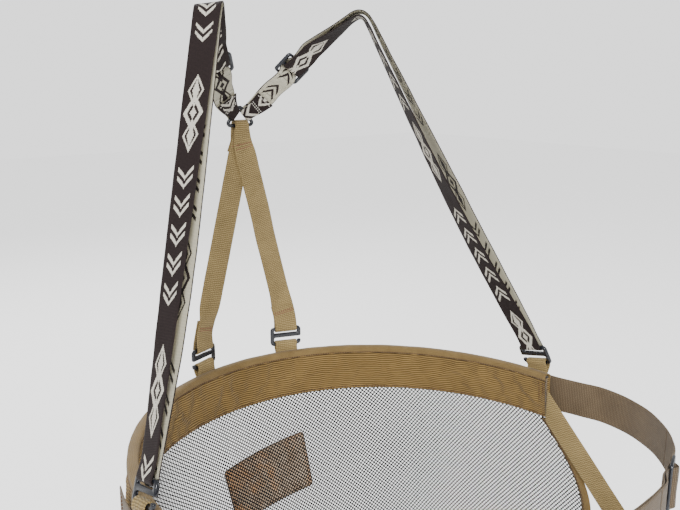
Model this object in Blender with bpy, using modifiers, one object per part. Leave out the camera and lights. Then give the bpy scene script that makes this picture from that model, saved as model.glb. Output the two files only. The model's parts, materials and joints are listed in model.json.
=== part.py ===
"""Tree saddle: a mesh sling seat with a waist belt, bridge loops, leg straps and four-point suspenders.

Metres, +Z up. The wearer stands inside the curve of the seat and faces -Y. Left and right are named as
seen from in front of the wearer, so the right side is the +X side. Heights are first laid out from
the top edge of the seat, and one empty then moves everything so that the origin is at the centre of
the bottom of the bounding box.
"""

import math

import bmesh
import bpy
import numpy as np
from mathutils import Matrix, Vector

MM = 0.001

# ---- Driving dimensions ----------------------------------------------------------------------------
SEAT_HALF_WIDTH = 222.6 * MM       # half ellipse of the seat seen from above, across
SEAT_DEPTH = 238.9 * MM            # the same ellipse, front to back
SEAT_HEIGHT = 290 * MM             # top edge to bottom edge
BAND_HEIGHT = 50 * MM              # the padded bands along the top and bottom edges
SIDE_BULGE = 56 * MM               # how far the mesh reaches forward of the bands at half height
SIDE_FLARE = 10 * MM               # how far the sides lean out at half height
WEBBING_WIDTH = 25.4 * MM          # one inch webbing: yoke, loops, bridge, suspenders, leg straps
BELT_WIDTH = 38.1 * MM             # one and a half inch belt
GAP = 0.4 * MM                     # clearance between pieces that touch

MESH_THICK = 0.8 * MM
PLY_THICK = 1.2 * MM
LOAD_THICK = 1.6 * MM
BINDING_THICK = 0.8 * MM
WEBBING_THICK = 1.4 * MM
STRAP_THICK = 1.1 * MM
SEWN_OUT = 1.5 * MM                # from a strap's course to each ply where two are sewn together

# Places measured outward from the mesh, in the order that the layers are sewn
INNER_PLY_OUT = -1.6 * MM
LOAD_OUT = 1.8 * MM
OUTER_PLY_OUT = 3.8 * MM
BAND_BINDING_OUT = (-3.2 * MM, 5.4 * MM)
SIDE_BINDING_OUT = 1.3 * MM
BRIDGE_OUT = 3.0 * MM
LOOP_PLY_OUT = (7.0 * MM, 9.0 * MM)
BELT_OUT = 11.0 * MM

# Leather patch: its middle along and down from the top edge at the back, and its turn in degrees
PATCH_SIZE = (118 * MM, 66 * MM)
PATCH_ALONG = 10 * MM
PATCH_DROP = 135 * MM
PATCH_TURN = -8

# Suspenders, measured from the seat's top edge and the back of the ellipse
HOOK_ALONG_BACK = 52 * MM          # place of the back hooks along the top edge
HOOK_ALONG_FRONT_INSET = 19 * MM   # the front hooks stand this far behind the ends of the band
HOOK_AXIS_HEIGHT = 9 * MM
HOOK_OUT = 10.4 * MM
BACK_HOOK_TURN = 20                # degrees
FRONT_HOOK_ROLL = 13               # degrees
RING_BAR = Vector((0, 3.3, 262)) * MM
RING_HALF_WIDTH = 17.5 * MM
RING_HEIGHT = 20 * MM
RING_WIRE = 2.0 * MM
SHOULDER = Vector((87.5, -91.7, 379)) * MM
BACK_BOW = Vector((50.4, -34.6, 329)) * MM

# Hooks and slides
HOOK_WIDTH = 36 * MM
HOOK_MIDDLE = 10.5 * MM            # from the middle of the bottom bar to the middle of the next one
HOOK_TOP = 18.6 * MM               # from the middle of the bottom bar to the middle of the top one
HOOK_BAR = 3.6 * MM                # height of the bottom and top bars
HOOK_MIDDLE_BAR = 5.0 * MM
HOOK_WALL = 4.3 * MM
HOOK_THICK = 3.4 * MM
HOOK_GATE = 4.0 * MM
HOOK_GATE_SIDE = {"back_left": 1, "back_right": -1, "front_left": 1, "front_right": 1}
SLIDE_BAR = 2.6 * MM
SLIDE_PITCH = 10.5 * MM            # from a slide's middle bar to each of its rails
SLIDE_ALONG = 68 * MM              # from the ring up the suspender to its slide

# Belt and buckle
BUCKLE_HALF = 32.5 * MM            # from the buckle's centre to each end's bar
BUCKLE_BAR = 3.0 * MM
BELT_HALF_WIDTH = 248 * MM
BELT_FRONT_Y = -440 * MM
BELT_MID_Z = -22.5 * MM
BELT_THICK = 1.4 * MM
BELT_SLIDE_ALONG = 150 * MM        # from the front centre back to the belt's slide

# Leg straps
LEG_SLIDE_BACK = 128 * MM          # from the strap's front end back to its slide

COLLECTION = "tree_saddle"
CUTTERS = "tree_saddle_cutters"

COYOTE = (0.42, 0.30, 0.15, 1)
TAUPE = (0.30, 0.24, 0.18, 1)
STRAP_BROWN = (0.05, 0.035, 0.035, 1)
BLACK_MESH = (0.03, 0.03, 0.03, 1)
LEATHER = (0.28, 0.14, 0.06, 1)
HOOK_METAL = (0.03, 0.035, 0.045, 1)
BLACK_PLASTIC = (0.02, 0.02, 0.02, 1)


# ---- Scene helpers ---------------------------------------------------------------------------------
def clear_scene():
    for obj in list(bpy.data.objects):
        bpy.data.objects.remove(obj, do_unlink=True)


def new_collection(name):
    collection = bpy.data.collections.new(name)
    bpy.context.scene.collection.children.link(collection)
    return collection


def material(name, colour, roughness, metallic=0.0):
    if name in bpy.data.materials:
        return bpy.data.materials[name]
    made = bpy.data.materials.new(name)
    made.use_nodes = True
    shader = made.node_tree.nodes["Principled BSDF"]
    shader.inputs["Base Color"].default_value = colour
    shader.inputs["Roughness"].default_value = roughness
    shader.inputs["Metallic"].default_value = metallic
    return made


def webbing_material():
    return material("coyote_webbing", COYOTE, 0.85)


def add(name, data, finish, placement=None):
    obj = bpy.data.objects.new(name, data)
    bpy.data.collections[COLLECTION].objects.link(obj)
    data.materials.clear()
    data.materials.append(finish)
    if placement is not None:
        obj.matrix_world = placement
    obj.parent = bpy.data.objects["saddle_origin"]
    return obj


def sheet(name, grid, thickness, finish, placement=None):
    """A soft sheet: a grid of points (rows, columns, 3) thickened evenly to both sides."""
    rows, columns = grid.shape[:2]
    mesh = bpy.data.meshes.new(name)
    faces = [
        (r * columns + c, r * columns + c + 1, (r + 1) * columns + c + 1, (r + 1) * columns + c)
        for r in range(rows - 1)
        for c in range(columns - 1)
    ]
    mesh.from_pydata(grid.reshape(-1, 3).tolist(), [], faces)
    mesh.shade_smooth()
    obj = add(name, mesh, finish, placement)
    solid = obj.modifiers.new("thickness", "SOLIDIFY")
    solid.thickness = thickness
    solid.offset = 0
    return obj


def mirrored(points):
    return np.asarray(points) * np.array([-1, 1, 1])


def sided(points, side):
    return np.asarray(points) if side > 0 else mirrored(points)


# ---- The seat surface ------------------------------------------------------------------------------
ANGLES = np.linspace(0, math.pi / 2, 181)
ARC_X = SEAT_HALF_WIDTH * np.sin(ANGLES)
ARC_Y = SEAT_DEPTH * (np.cos(ANGLES) - 1)
ARC_LENGTHS = np.concatenate(([0], np.cumsum(np.hypot(np.diff(ARC_X), np.diff(ARC_Y)))))
BAND_HALF_LENGTH = float(ARC_LENGTHS[-1])


def lean(angle, drop):
    """Outward lean of the seat at an angle round from the back: in under the wearer, out at the sides."""
    tuck = 0.15 * drop + 0.15 * drop * drop
    flare = SIDE_FLARE * math.sin(math.pi * drop / SEAT_HEIGHT)
    return flare * math.sin(angle) ** 2 - tuck * math.cos(angle) ** 2


def seat_point(along, drop, out=0.0):
    """A point on the seat: along its length from the back, down from its top edge, out from its surface."""
    side = -1 if along < 0 else 1
    length = min(abs(along), BAND_HALF_LENGTH)
    angle = float(np.interp(length, ARC_LENGTHS, ANGLES))
    normal = Vector((math.sin(angle) / SEAT_HALF_WIDTH, math.cos(angle) / SEAT_DEPTH, 0)).normalized()
    point = Vector((SEAT_HALF_WIDTH * math.sin(angle), SEAT_DEPTH * (math.cos(angle) - 1), -drop))
    point += normal * (lean(angle, drop) + out)
    point.y -= max(abs(along) - BAND_HALF_LENGTH, 0)
    point.x *= side
    return point


def side_reach(drop):
    """How far the mesh reaches forward of the bands at a height."""
    run = (drop - BAND_HEIGHT) / (SEAT_HEIGHT - 2 * BAND_HEIGHT)
    return SIDE_BULGE * math.sin(math.pi * min(max(run, 0), 1))


def seat_grid(alongs, drops, out=0.0):
    return np.array([[seat_point(a, d, out) for a in alongs] for d in drops])


BAND_STATIONS = np.linspace(-BAND_HALF_LENGTH, BAND_HALF_LENGTH, 33)
MESH_COLUMNS = 35
OPEN_DROPS = np.linspace(BAND_HEIGHT, SEAT_HEIGHT - BAND_HEIGHT, 11)


def make_mesh_panel():
    """The mesh runs from edge to edge behind the bands, and its sides bulge forward between them."""
    edge = BINDING_THICK + 2 * GAP
    hidden = np.linspace(edge, BAND_HEIGHT, 3)[:-1]
    drops = np.concatenate((hidden, OPEN_DROPS, SEAT_HEIGHT - hidden[::-1]))
    rows = []
    for drop in drops:
        reach = BAND_HALF_LENGTH + side_reach(drop)
        rows.append([seat_point(a, drop) for a in np.linspace(-reach, reach, MESH_COLUMNS)])
    return sheet("mesh_panel", np.array(rows), MESH_THICK, material("black_mesh", BLACK_MESH, 0.7))


def make_band(place, top):
    """Two fabric plies either side of the mesh with a load webbing between them, for one edge."""
    edge, end_inset = 1.6 * MM, 3 * MM
    fabric = material("coyote_band", COYOTE, 0.9)
    drops = np.linspace(top + edge, top + BAND_HEIGHT - edge, 4)
    inside = np.linspace(top + 4 * edge, top + BAND_HEIGHT - 3 * edge, 3)
    stations = BAND_STATIONS * (1 - end_inset / BAND_HALF_LENGTH)
    sheet(f"{place}_band_inner", seat_grid(BAND_STATIONS, drops, INNER_PLY_OUT), PLY_THICK, fabric)
    sheet(f"{place}_load_webbing", seat_grid(stations, inside, LOAD_OUT), LOAD_THICK, webbing_material())
    sheet(f"{place}_band_outer", seat_grid(BAND_STATIONS, drops, OUTER_PLY_OUT), PLY_THICK, fabric)


def make_band_binding(place, edge_drop, inward):
    """Folded tape over a band's outer edge. inward is +1 when the tape's legs point down."""
    leg = 6 * MM
    low, high = BAND_BINDING_OUT
    middle, half = (low + high) / 2, (high - low) / 2
    profile = [(leg, low)]
    for step in range(5):
        turn = math.pi * step / 4
        profile.append((-half * 0.5 * math.sin(turn), middle - half * math.cos(turn)))
    profile.append((leg, high))
    grid = np.array([
        [seat_point(a, edge_drop + inward * rise, out) for a in BAND_STATIONS] for rise, out in profile
    ])
    return sheet(f"{place}_binding", grid, BINDING_THICK, material("coyote_binding", COYOTE, 0.8))


def make_side_binding(side, name):
    """Tape folded over the mesh's curved side edge, between the two bands."""
    leg = 8 * MM
    drops = OPEN_DROPS.copy()
    drops[0] += 1 * MM
    drops[-1] -= 1 * MM
    profile = [(-leg, -1), (0.8 * MM, -1), (2.0 * MM, 0), (0.8 * MM, 1), (-leg, 1)]
    grid = np.array([
        [
            seat_point(side * (BAND_HALF_LENGTH + side_reach(d) + ahead), d, SIDE_BINDING_OUT * layer)
            for ahead, layer in profile
        ]
        for d in drops
    ])
    return sheet(f"side_binding_{name}", grid, BINDING_THICK, material("coyote_binding", COYOTE, 0.8))


def make_leather_patch():
    """Hide sewn to the outside of the mesh behind the wearer, a little off centre and askew."""
    thickness = 1.6 * MM
    half_width, half_height = PATCH_SIZE[0] / 2, PATCH_SIZE[1] / 2
    turn = math.radians(PATCH_TURN)
    out = MESH_THICK / 2 + GAP + thickness / 2 + 0.1 * MM
    rows = []
    for v in np.linspace(-half_height, half_height, 5):
        rows.append([
            seat_point(
                PATCH_ALONG + u * math.cos(turn) - v * math.sin(turn),
                PATCH_DROP + v * math.cos(turn) + u * math.sin(turn),
                out,
            )
            for u in np.linspace(-half_width, half_width, 9)
        ])
    return sheet("leather_patch", np.array(rows), thickness, material("leather", LEATHER, 0.6))


def make_bridge_webbing(side, name):
    """Webbing that leaves the top band at 45 degrees, folds on an upright line and returns below.

    Every upright cut through a strip laid at 45 degrees is sqrt(2) times its width tall, so the strip
    is a row of upright cuts that sink by as much as they advance.
    """
    start = 1.0 * MM
    top_mid = 33 * MM
    straight = 108 * MM
    fold = 5.5 * MM
    x_top = SEAT_HALF_WIDTH + lean(math.pi / 2, top_mid) - BRIDGE_OUT
    x_low = SEAT_HALF_WIDTH + SIDE_FLARE + 0.8 * MM
    y_end = -SEAT_DEPTH - start
    plan = [(x_top, y_end), (x_top, y_end - 0.75 * straight)]
    centre = (x_top + fold, y_end - straight)
    for step in range(9):
        turn = math.pi * step / 8
        plan.append((centre[0] - fold * math.cos(turn), centre[1] - fold * math.sin(turn)))
    plan += [(x_top + 1.5 * fold, y_end - 0.72 * straight), (x_low + 1 * MM, y_end - 0.4 * straight),
             (x_low, y_end - 0.2 * straight), (x_low, y_end)]
    plan = np.array(plan)
    travelled = np.concatenate(([0], np.cumsum(np.hypot(*np.diff(plan, axis=0).T))))
    sink = (SEAT_HEIGHT - 2 * top_mid) / travelled[-1]
    half = WEBBING_WIDTH / math.sqrt(2)
    rows = [
        [(x, y, -top_mid - sink * far + up) for up in (half, -half)]
        for (x, y), far in zip(plan, travelled)
    ]
    return sheet(f"bridge_webbing_{name}", sided(rows, side), WEBBING_THICK, webbing_material())


# ---- Paths for straps ------------------------------------------------------------------------------
def unit(vector):
    vector = np.asarray(vector, float)
    return vector / np.linalg.norm(vector)


def rounded_path(corners, cuts, steps=6, spacing=20 * MM):
    """Straight runs between corners with each inner corner eased by a curve that starts cut away."""
    corners = [np.asarray(c, float) for c in corners]
    path = [corners[0]]

    def run_to(target):
        count = max(int(np.linalg.norm(target - path[-1]) / spacing), 1)
        here = path[-1]
        for step in range(1, count + 1):
            path.append(here + (target - here) * step / count)

    for before, corner, after, cut in zip(corners, corners[1:], corners[2:], cuts):
        enter = corner + unit(before - corner) * cut
        leave = corner + unit(after - corner) * cut
        run_to(enter)
        for step in range(1, steps + 1):
            t = step / steps
            path.append((1 - t) ** 2 * enter + 2 * t * (1 - t) * corner + t ** 2 * leave)
    run_to(corners[-1])
    return np.array(path)


def lengths_along(path):
    return np.concatenate(([0], np.cumsum(np.linalg.norm(np.diff(path, axis=0), axis=1))))


class Course:
    """A strap's course: a centre line with a width direction and an outward direction at each place."""

    def __init__(self, path, widths_at, widths):
        self.path = path
        self.at = lengths_along(path)
        self.length = float(self.at[-1])
        self.widths_at = np.asarray(widths_at) * self.length
        self.widths = np.asarray([unit(w) for w in widths])

    def place(self, along):
        inside = min(max(along, 0), self.length)
        point = np.array([np.interp(inside, self.at, self.path[:, k]) for k in range(3)])
        step = 1.5 * MM
        ends = [
            np.array([np.interp(min(max(inside + d, 0), self.length), self.at, self.path[:, k])
                      for k in range(3)])
            for d in (-step, step)
        ]
        forward = unit(ends[1] - ends[0])
        point = point + forward * (along - inside)
        width = np.array([np.interp(inside, self.widths_at, self.widths[:, k]) for k in range(3)])
        width = unit(width - forward * (width @ forward))
        return point, forward, width, np.cross(width, forward)


def band_rows(course, stations):
    """Rows of two points from (along, out, width) stations of a course."""
    rows = []
    for along, out, width in stations:
        point, _, across, outward = course.place(along)
        middle = point + outward * out
        rows.append([middle - across * width / 2, middle + across * width / 2])
    return np.array(rows)


def turn_round(along, radius, start, end, steps=8):
    """Stations of a fold round a bar that lies across the course at along, from angle to angle.

    Angle 0 is straight out from the course and 90 is ahead of the bar."""
    stations = []
    for angle in np.radians(np.linspace(start, end, steps + 1)):
        stations.append((along + radius * math.sin(angle), radius * math.cos(angle)))
    return stations


def fold_radius(bar, thickness, layer=0):
    return bar + GAP + thickness / 2 + layer * (thickness + GAP)


# ---- Hardware --------------------------------------------------------------------------------------
def eased_outline(corners, radii, steps=3):
    """A closed outline whose corners are rounded by arcs of the given radii."""
    outline = []
    count = len(corners)
    for index, (corner, radius) in enumerate(zip(corners, radii)):
        here = Vector(corner)
        before = (Vector(corners[index - 1]) - here).normalized()
        after = (Vector(corners[(index + 1) % count]) - here).normalized()
        opening = before.angle(after)
        reach = radius / math.tan(opening / 2)
        centre = here + (before + after).normalized() * radius / math.sin(opening / 2)
        first, last = here + before * reach - centre, here + after * reach - centre
        sweep = first.angle_signed(last)
        for step in range(steps + 1):
            turned = first.copy()
            turned.rotate(Matrix.Rotation(-sweep * step / steps, 2))
            outline.append(tuple((centre + turned) / MM))
    return [(x * MM, y * MM) for x, y in outline]


def box_corners(half_width, low, high):
    return [(-half_width, low), (half_width, low), (half_width, high), (-half_width, high)]


def plate(name, outlines, thickness, finish, placement, round_over=0.45 * MM):
    """A flat plate from closed outlines in its own XY plane, with its edges rounded over."""
    curve = bpy.data.curves.new(name, "CURVE")
    curve.dimensions = "2D"
    curve.fill_mode = "BOTH"
    curve.bevel_depth = round_over
    curve.bevel_resolution = 0
    curve.offset = -round_over
    curve.extrude = thickness / 2 - round_over
    for outline in outlines:
        spline = curve.splines.new("POLY")
        spline.points.add(len(outline) - 1)
        for point, (x, y) in zip(spline.points, outline):
            point.co = (x, y, 0, 1)
        spline.use_cyclic_u = True
    return add(name, curve, finish, placement)


def rod(name, points, radius, finish, placement=None):
    curve = bpy.data.curves.new(name, "CURVE")
    curve.dimensions = "3D"
    curve.bevel_depth = radius
    curve.bevel_resolution = 2
    curve.use_fill_caps = True
    spline = curve.splines.new("POLY")
    spline.points.add(len(points) - 1)
    for point, co in zip(spline.points, points):
        point.co = (*co, 1)
    spline.use_cyclic_u = True
    return add(name, curve, finish, placement)


def frame_matrix(origin, across, up):
    """Placement with X across, Y up and Z out, from an origin, an across and an upward direction."""
    x = unit(across)
    y = unit(np.asarray(up) - x * (np.asarray(up) @ x))
    z = np.cross(x, y)
    return Matrix((
        (x[0], y[0], z[0], origin[0]),
        (x[1], y[1], z[1], origin[1]),
        (x[2], y[2], z[2], origin[2]),
        (0, 0, 0, 1),
    ))


def make_g_hook(name, placement, gate_side):
    """Flat hook: a closed slot above for the strap, and a slot with a gate below for the seat's loop."""
    half, bar = HOOK_WIDTH / 2, HOOK_BAR / 2
    slot = half - HOOK_WALL
    top = HOOK_TOP + bar
    ceiling, floor = HOOK_MIDDLE - HOOK_MIDDLE_BAR / 2, HOOK_MIDDLE + HOOK_MIDDLE_BAR / 2
    stub = ceiling - HOOK_GATE
    corners = [
        (-half, top), (-half, -bar), (half, -bar), (half, stub), (slot, stub), (slot, bar),
        (-slot, bar), (-slot, ceiling), (half, ceiling), (half, top),
    ]
    radii = [4.5, 4, 4, 1.2, 1.0, 0.8, 1.5, 1.5, 1.6, 4.5]
    outline = eased_outline(corners, [r * MM for r in radii])
    window = eased_outline(box_corners(slot, floor, top - HOOK_BAR), [1.2 * MM] * 4)
    flip = [(x * gate_side, y) for x, y in outline]
    metal = material("hook_metal", HOOK_METAL, 0.35, 0.9)
    return plate(name, [flip, window], HOOK_THICK, metal, placement, 0.7 * MM)


def make_slide(name, placement, width, finish, pitch=SLIDE_PITCH, bar=SLIDE_BAR):
    """Three-bar slide: a flat frame with a middle bar. Its origin is at the middle bar."""
    slot = width / 2 + 1.2 * MM
    half = slot + 1.4 * bar
    end = pitch + bar / 2
    outline = eased_outline(box_corners(half, -end, end), [3.5 * MM] * 4)
    windows = [
        eased_outline(box_corners(slot, low, low + pitch - bar), [1.0 * MM] * 4, 2)
        for low in (-pitch + bar / 2, bar / 2)
    ]
    return plate(name, [outline] + windows, bar, finish, placement, 0.4 * MM)


# ---- Suspenders ------------------------------------------------------------------------------------
def hook_places():
    """For each hook: its side, its place along the top edge, and its placement with Z outward."""
    places = {}
    turn, roll = math.radians(BACK_HOOK_TURN), math.radians(FRONT_HOOK_ROLL)
    for side, label in ((-1, "left"), (1, "right")):
        base = seat_point(side * HOOK_ALONG_BACK, 0, HOOK_OUT)
        base.z = HOOK_AXIS_HEIGHT
        across = (-math.cos(turn), side * math.sin(turn), 0)
        places[f"back_{label}"] = (side, HOOK_ALONG_BACK, frame_matrix(base, across, (0, 0, 1)))
        along = BAND_HALF_LENGTH - HOOK_ALONG_FRONT_INSET
        base = seat_point(side * along, 0, HOOK_OUT)
        base.z = HOOK_AXIS_HEIGHT
        across = (0, side * math.cos(roll), -side * math.sin(roll))
        lift = (SHOULDER.x * side - base.x, SHOULDER.y - base.y, SHOULDER.z - base.z)
        places[f"front_{label}"] = (side, along, frame_matrix(base, across, lift))
    return places


def make_hook_loop(name, placement, along):
    """Webbing loop that is sewn to the outside of the top band and carries a hook's bottom bar."""
    tail, free, below = 24 * MM, 4 * MM, 2.6 * MM
    offsets = np.linspace(-WEBBING_WIDTH / 2, WEBBING_WIDTH / 2, 5)
    radius = fold_radius(math.hypot(HOOK_BAR / 2, HOOK_THICK / 2), WEBBING_THICK)
    towards_front = (placement @ Vector((1, 0, 0)) - placement.translation).y * along < 0
    alongs = along + (offsets if towards_front else -offsets)
    inner, outer = LOOP_PLY_OUT
    fold = [(-below, -radius)]
    for turn in np.linspace(0, math.pi, 9):
        fold.append((radius * math.sin(turn), -radius * math.cos(turn)))
    fold.append((-below, radius))
    rows = [[seat_point(a, drop, inner) for a in alongs] for drop in (tail, tail / 2, free)]
    rows += [[placement @ Vector((o, up, out)) for o in offsets] for up, out in fold]
    rows += [[seat_point(a, drop, outer) for a in alongs] for drop in (free, tail / 2, tail)]
    return sheet(name, np.array(rows), WEBBING_THICK, webbing_material())


def hook_top_bar(placement, beyond=0.0):
    return np.array(placement @ Vector((0, HOOK_TOP + beyond, 0)))


def hook_fold(thickness):
    """Radius of a strap's fold round a hook's bar, which is flat with corners."""
    return fold_radius(math.hypot(HOOK_BAR / 2, HOOK_THICK / 2) - 0.3 * MM, thickness)


def make_yoke_leg(side, label, placement):
    """One leg of the V: folded round the ring's bar above and round a back hook's top bar below."""
    upright_at_head, upright_at_foot = 16 * MM, 11 * MM
    across = np.array(placement.col[0][:3])
    foot, above_foot = hook_top_bar(placement), hook_top_bar(placement, upright_at_foot)
    head = np.array(RING_BAR)
    below_head = head - np.array([0, 0, upright_at_head])
    path = rounded_path([head, below_head, above_foot, foot], [10 * MM, 8 * MM], 4, 24 * MM)
    level = np.array([-1.0, 0, 0])
    tilt = unit(np.cross(unit(above_foot - below_head), (0, -1, 0)))
    widths = [level, level, tilt, tilt, across, across]
    course = Course(path, [0, 0.05, 0.16, 0.80, 0.88, 1], widths)
    layer = 0 if side < 0 else 1
    at_ring = fold_radius(RING_WIRE, WEBBING_THICK, layer)
    at_hook = hook_fold(WEBBING_THICK)
    low = SEWN_OUT
    high = low + layer * (WEBBING_THICK + GAP)
    length, narrow, gathered = course.length, 15.5 * MM, 26 * MM
    tab, ease = 30 * MM, 6 * MM
    clear = tab + ease

    def width(along):
        return narrow + (WEBBING_WIDTH - narrow) * min(max(along / gathered, 0), 1)

    stations = [(tab, -high), (tab / 2, -high), (ease, -0.7 * at_ring - 0.3 * high)]
    stations += turn_round(0, at_ring, 180, 360)
    stations += [(ease, 0.7 * at_ring + 0.3 * high), (tab / 2, high), (tab, high)]
    stations += [(s, high) for s in course.at if clear < s < length / 2]
    stations += [(s, low) for s in course.at if length / 2 <= s < length - clear]
    stations += [(length - tab, low), (length - tab / 2, low), (length - ease, 0.7 * at_hook + 0.3 * low)]
    stations += turn_round(length, at_hook, 0, 180)
    stations += [(length - ease, -0.7 * at_hook - 0.3 * low), (length - tab / 2, -low), (length - tab, -low)]
    rows = band_rows(course, [(a, o, width(a)) for a, o in stations])
    return sheet(f"yoke_leg_{label}", rows, WEBBING_THICK, webbing_material())


def suspender_course(placement):
    """Course of the +X suspender from the ring's side bar, over the shoulder, to the front hook."""
    up_the_bar = 0.58
    head = np.array(RING_BAR) + np.array([RING_HALF_WIDTH * (1 - up_the_bar), 0, RING_HEIGHT * up_the_bar])
    ring_side = unit((-RING_HALF_WIDTH, 0, RING_HEIGHT))
    leaving = unit(np.array(BACK_BOW) - head)
    leaving = unit(leaving - ring_side * (leaving @ ring_side))
    path = rounded_path(
        [head, head + leaving * 24 * MM, BACK_BOW, SHOULDER, hook_top_bar(placement, 14 * MM),
         hook_top_bar(placement)],
        [10 * MM, 26 * MM, 16 * MM, 9 * MM], 5, 16 * MM,
    )
    across = -np.array(placement.col[0][:3])
    widths = [ring_side, (-0.80, -0.15, 0.58), (-0.80, -0.25, 0.50), (-0.72, -0.62, 0.25),
              (-0.60, -0.78, 0.05), (-0.22, -0.90, 0.22), across, across]
    marks = [0, 0.04, 0.17, 0.232, 0.30, 0.75, 0.93, 1]
    return Course(path, marks, widths)


def woven_through(slide, thickness, steps=8):
    """Stations of a ply behind the low rail of a slide, over its middle bar and behind its top rail."""
    beside = SLIDE_BAR / 2 + GAP + thickness / 2
    over = fold_radius(SLIDE_BAR / math.sqrt(2), thickness) + thickness + GAP
    swing, middle = (over + beside) / 2, (over - beside) / 2
    return [
        (slide + SLIDE_PITCH * step / steps, middle + swing * math.cos(math.pi * step / steps))
        for step in range(-steps, steps + 1)
    ]


def sewn_to_middle_bar(slide, thickness):
    """Stations of a ply that comes back behind a slide's top rail and is sewn round its middle bar."""
    beyond = 9 * MM
    behind = SLIDE_BAR / 2 + 2 * GAP + 1.5 * thickness
    fold = fold_radius(SLIDE_BAR / math.sqrt(2), thickness)
    return [(slide + SLIDE_PITCH + beyond, -behind), (slide + SLIDE_PITCH, -behind),
            (slide + SLIDE_PITCH / 2, -behind * 0.95)] + turn_round(slide, fold, 180, 300, 6)


def make_suspender(side, label, course):
    """One strap: sewn round the ring, through the slide, over the shoulder, round the hook and back."""
    at_ring = fold_radius(RING_WIRE, STRAP_THICK)
    at_hook = hook_fold(STRAP_THICK)
    rest = SEWN_OUT
    narrow, length = 14 * MM, course.length

    def width(along):
        return narrow + (WEBBING_WIDTH - narrow) * min(max((along - 4 * MM) / (20 * MM), 0), 1)

    def inner_out(along):
        """The returning ply hangs away from the outer one, most of all low on the chest."""
        run = (along - SLIDE_ALONG) / (length - SLIDE_ALONG)
        return -(2 * MM + 7 * MM * math.sin(math.pi * min(max(run, 0), 1) ** 1.6))

    ends = 20 * MM
    on_front = [s for s in course.at if SLIDE_ALONG + SLIDE_PITCH + 12 * MM < s < length - ends]
    stations = [(26 * MM, -rest), (14 * MM, -rest), (6 * MM, -at_ring * 0.85)]
    stations += turn_round(0, at_ring, 180, 360)
    stations += [(6 * MM, at_ring * 0.85), (14 * MM, rest), (26 * MM, rest), (38 * MM, rest)]
    stations += woven_through(SLIDE_ALONG, STRAP_THICK)
    stations += [(s, rest) for s in on_front]
    stations += [(length - 13 * MM, rest), (length - 5 * MM, at_hook * 0.8)]
    stations += turn_round(length, at_hook, 0, 180)
    stations += [(length - 5 * MM, -at_hook * 0.9), (length - 13 * MM, -at_hook)]
    stations += [(s, inner_out(s)) for s in reversed(on_front)]
    stations += sewn_to_middle_bar(SLIDE_ALONG, STRAP_THICK)
    rows = band_rows(course, [(a, o, width(a)) for a, o in stations])
    finish = material("suspender_jacquard", STRAP_BROWN, 0.8)
    return sheet(f"suspender_strap_{label}", sided(rows, side), STRAP_THICK, finish)


def make_ring():
    """Rounded triangle of round wire: a flat bar for the yoke and two sloping bars for the straps."""
    half, rise = RING_HALF_WIDTH, RING_HEIGHT
    outline = eased_outline([(-half, 0), (half, 0), (0, rise)], [2.5 * MM, 2.5 * MM, 3 * MM], 4)
    placement = frame_matrix(RING_BAR, (-1, 0, 0), (0, 0, 1))
    points = [(x, y, 0) for x, y in outline]
    return rod("yoke_ring", points, RING_WIRE, material("hook_metal", HOOK_METAL, 0.35, 0.9), placement)


def slide_placement(course, along, side):
    """Placement of a slide on a course, with Z away from the wearer on either side of the body."""
    point, forward, across, _ = course.place(along)
    point, forward, across = (sided(v, side) for v in (point, forward, across))
    return frame_matrix(point, across * side, forward)


# ---- Belt and buckle -------------------------------------------------------------------------------
def belt_path():
    """Plan of the +X half of the belt, from the outside of the top band to the front centre."""
    sewn = [seat_point(BAND_HALF_LENGTH - back, -BELT_MID_Z, BELT_OUT)
            for back in np.linspace(75, 0, 6) * MM]
    points = [(p.x, p.y) for p in sewn]
    turn_y, flat = -292 * MM, 55 * MM
    points.append(((points[-1][0] + BELT_HALF_WIDTH) / 2, -265 * MM))
    for step in range(15):
        turn = math.pi / 2 * step / 14
        x = flat + (BELT_HALF_WIDTH - flat) * math.cos(turn)
        points.append((x, turn_y + (BELT_FRONT_Y - turn_y) * math.sin(turn)))
    points.append((0, BELT_FRONT_Y))
    return np.array([(x, y, BELT_MID_Z) for x, y in points])


def belt_course():
    return Course(belt_path(), [0, 1], [(0, 0, 1), (0, 0, 1)])


def make_belt(side, label):
    """Half of the belt. The +X half is doubled back through a slide so that it can be let out."""
    course = belt_course()
    end = course.length - BUCKLE_HALF
    wrap = fold_radius(BUCKLE_BAR / math.sqrt(2), BELT_THICK)
    rest = BELT_THICK / 2 + GAP / 2
    slide = course.length - BELT_SLIDE_ALONG
    near_end = end - 14 * MM
    turn = [(end - 4 * MM, wrap * 0.85)] + turn_round(end, wrap, 0, 180) + [(end - 4 * MM, -wrap * 0.85)]
    if side < 0:
        stations = [(s, rest) for s in course.at if s < near_end] + [(near_end, rest)] + turn
        stations += [(near_end, -rest), (end - 45 * MM, -rest)]
    else:
        clear = SLIDE_PITCH + 8 * MM
        stations = [(s, rest) for s in course.at if s < slide - clear]
        stations += woven_through(slide, BELT_THICK)
        between = [s for s in course.at if slide + clear < s < near_end]
        stations += [(s, rest) for s in between] + [(near_end, rest)] + turn
        stations += [(near_end, -rest)] + [(s, -rest) for s in reversed(between)]
        stations += sewn_to_middle_bar(slide, BELT_THICK)
    rows = band_rows(course, [(a, o, BELT_WIDTH) for a, o in stations])
    return sheet(f"belt_{label}", sided(rows, side), BELT_THICK, material("belt_taupe", TAUPE, 0.9))


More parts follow.
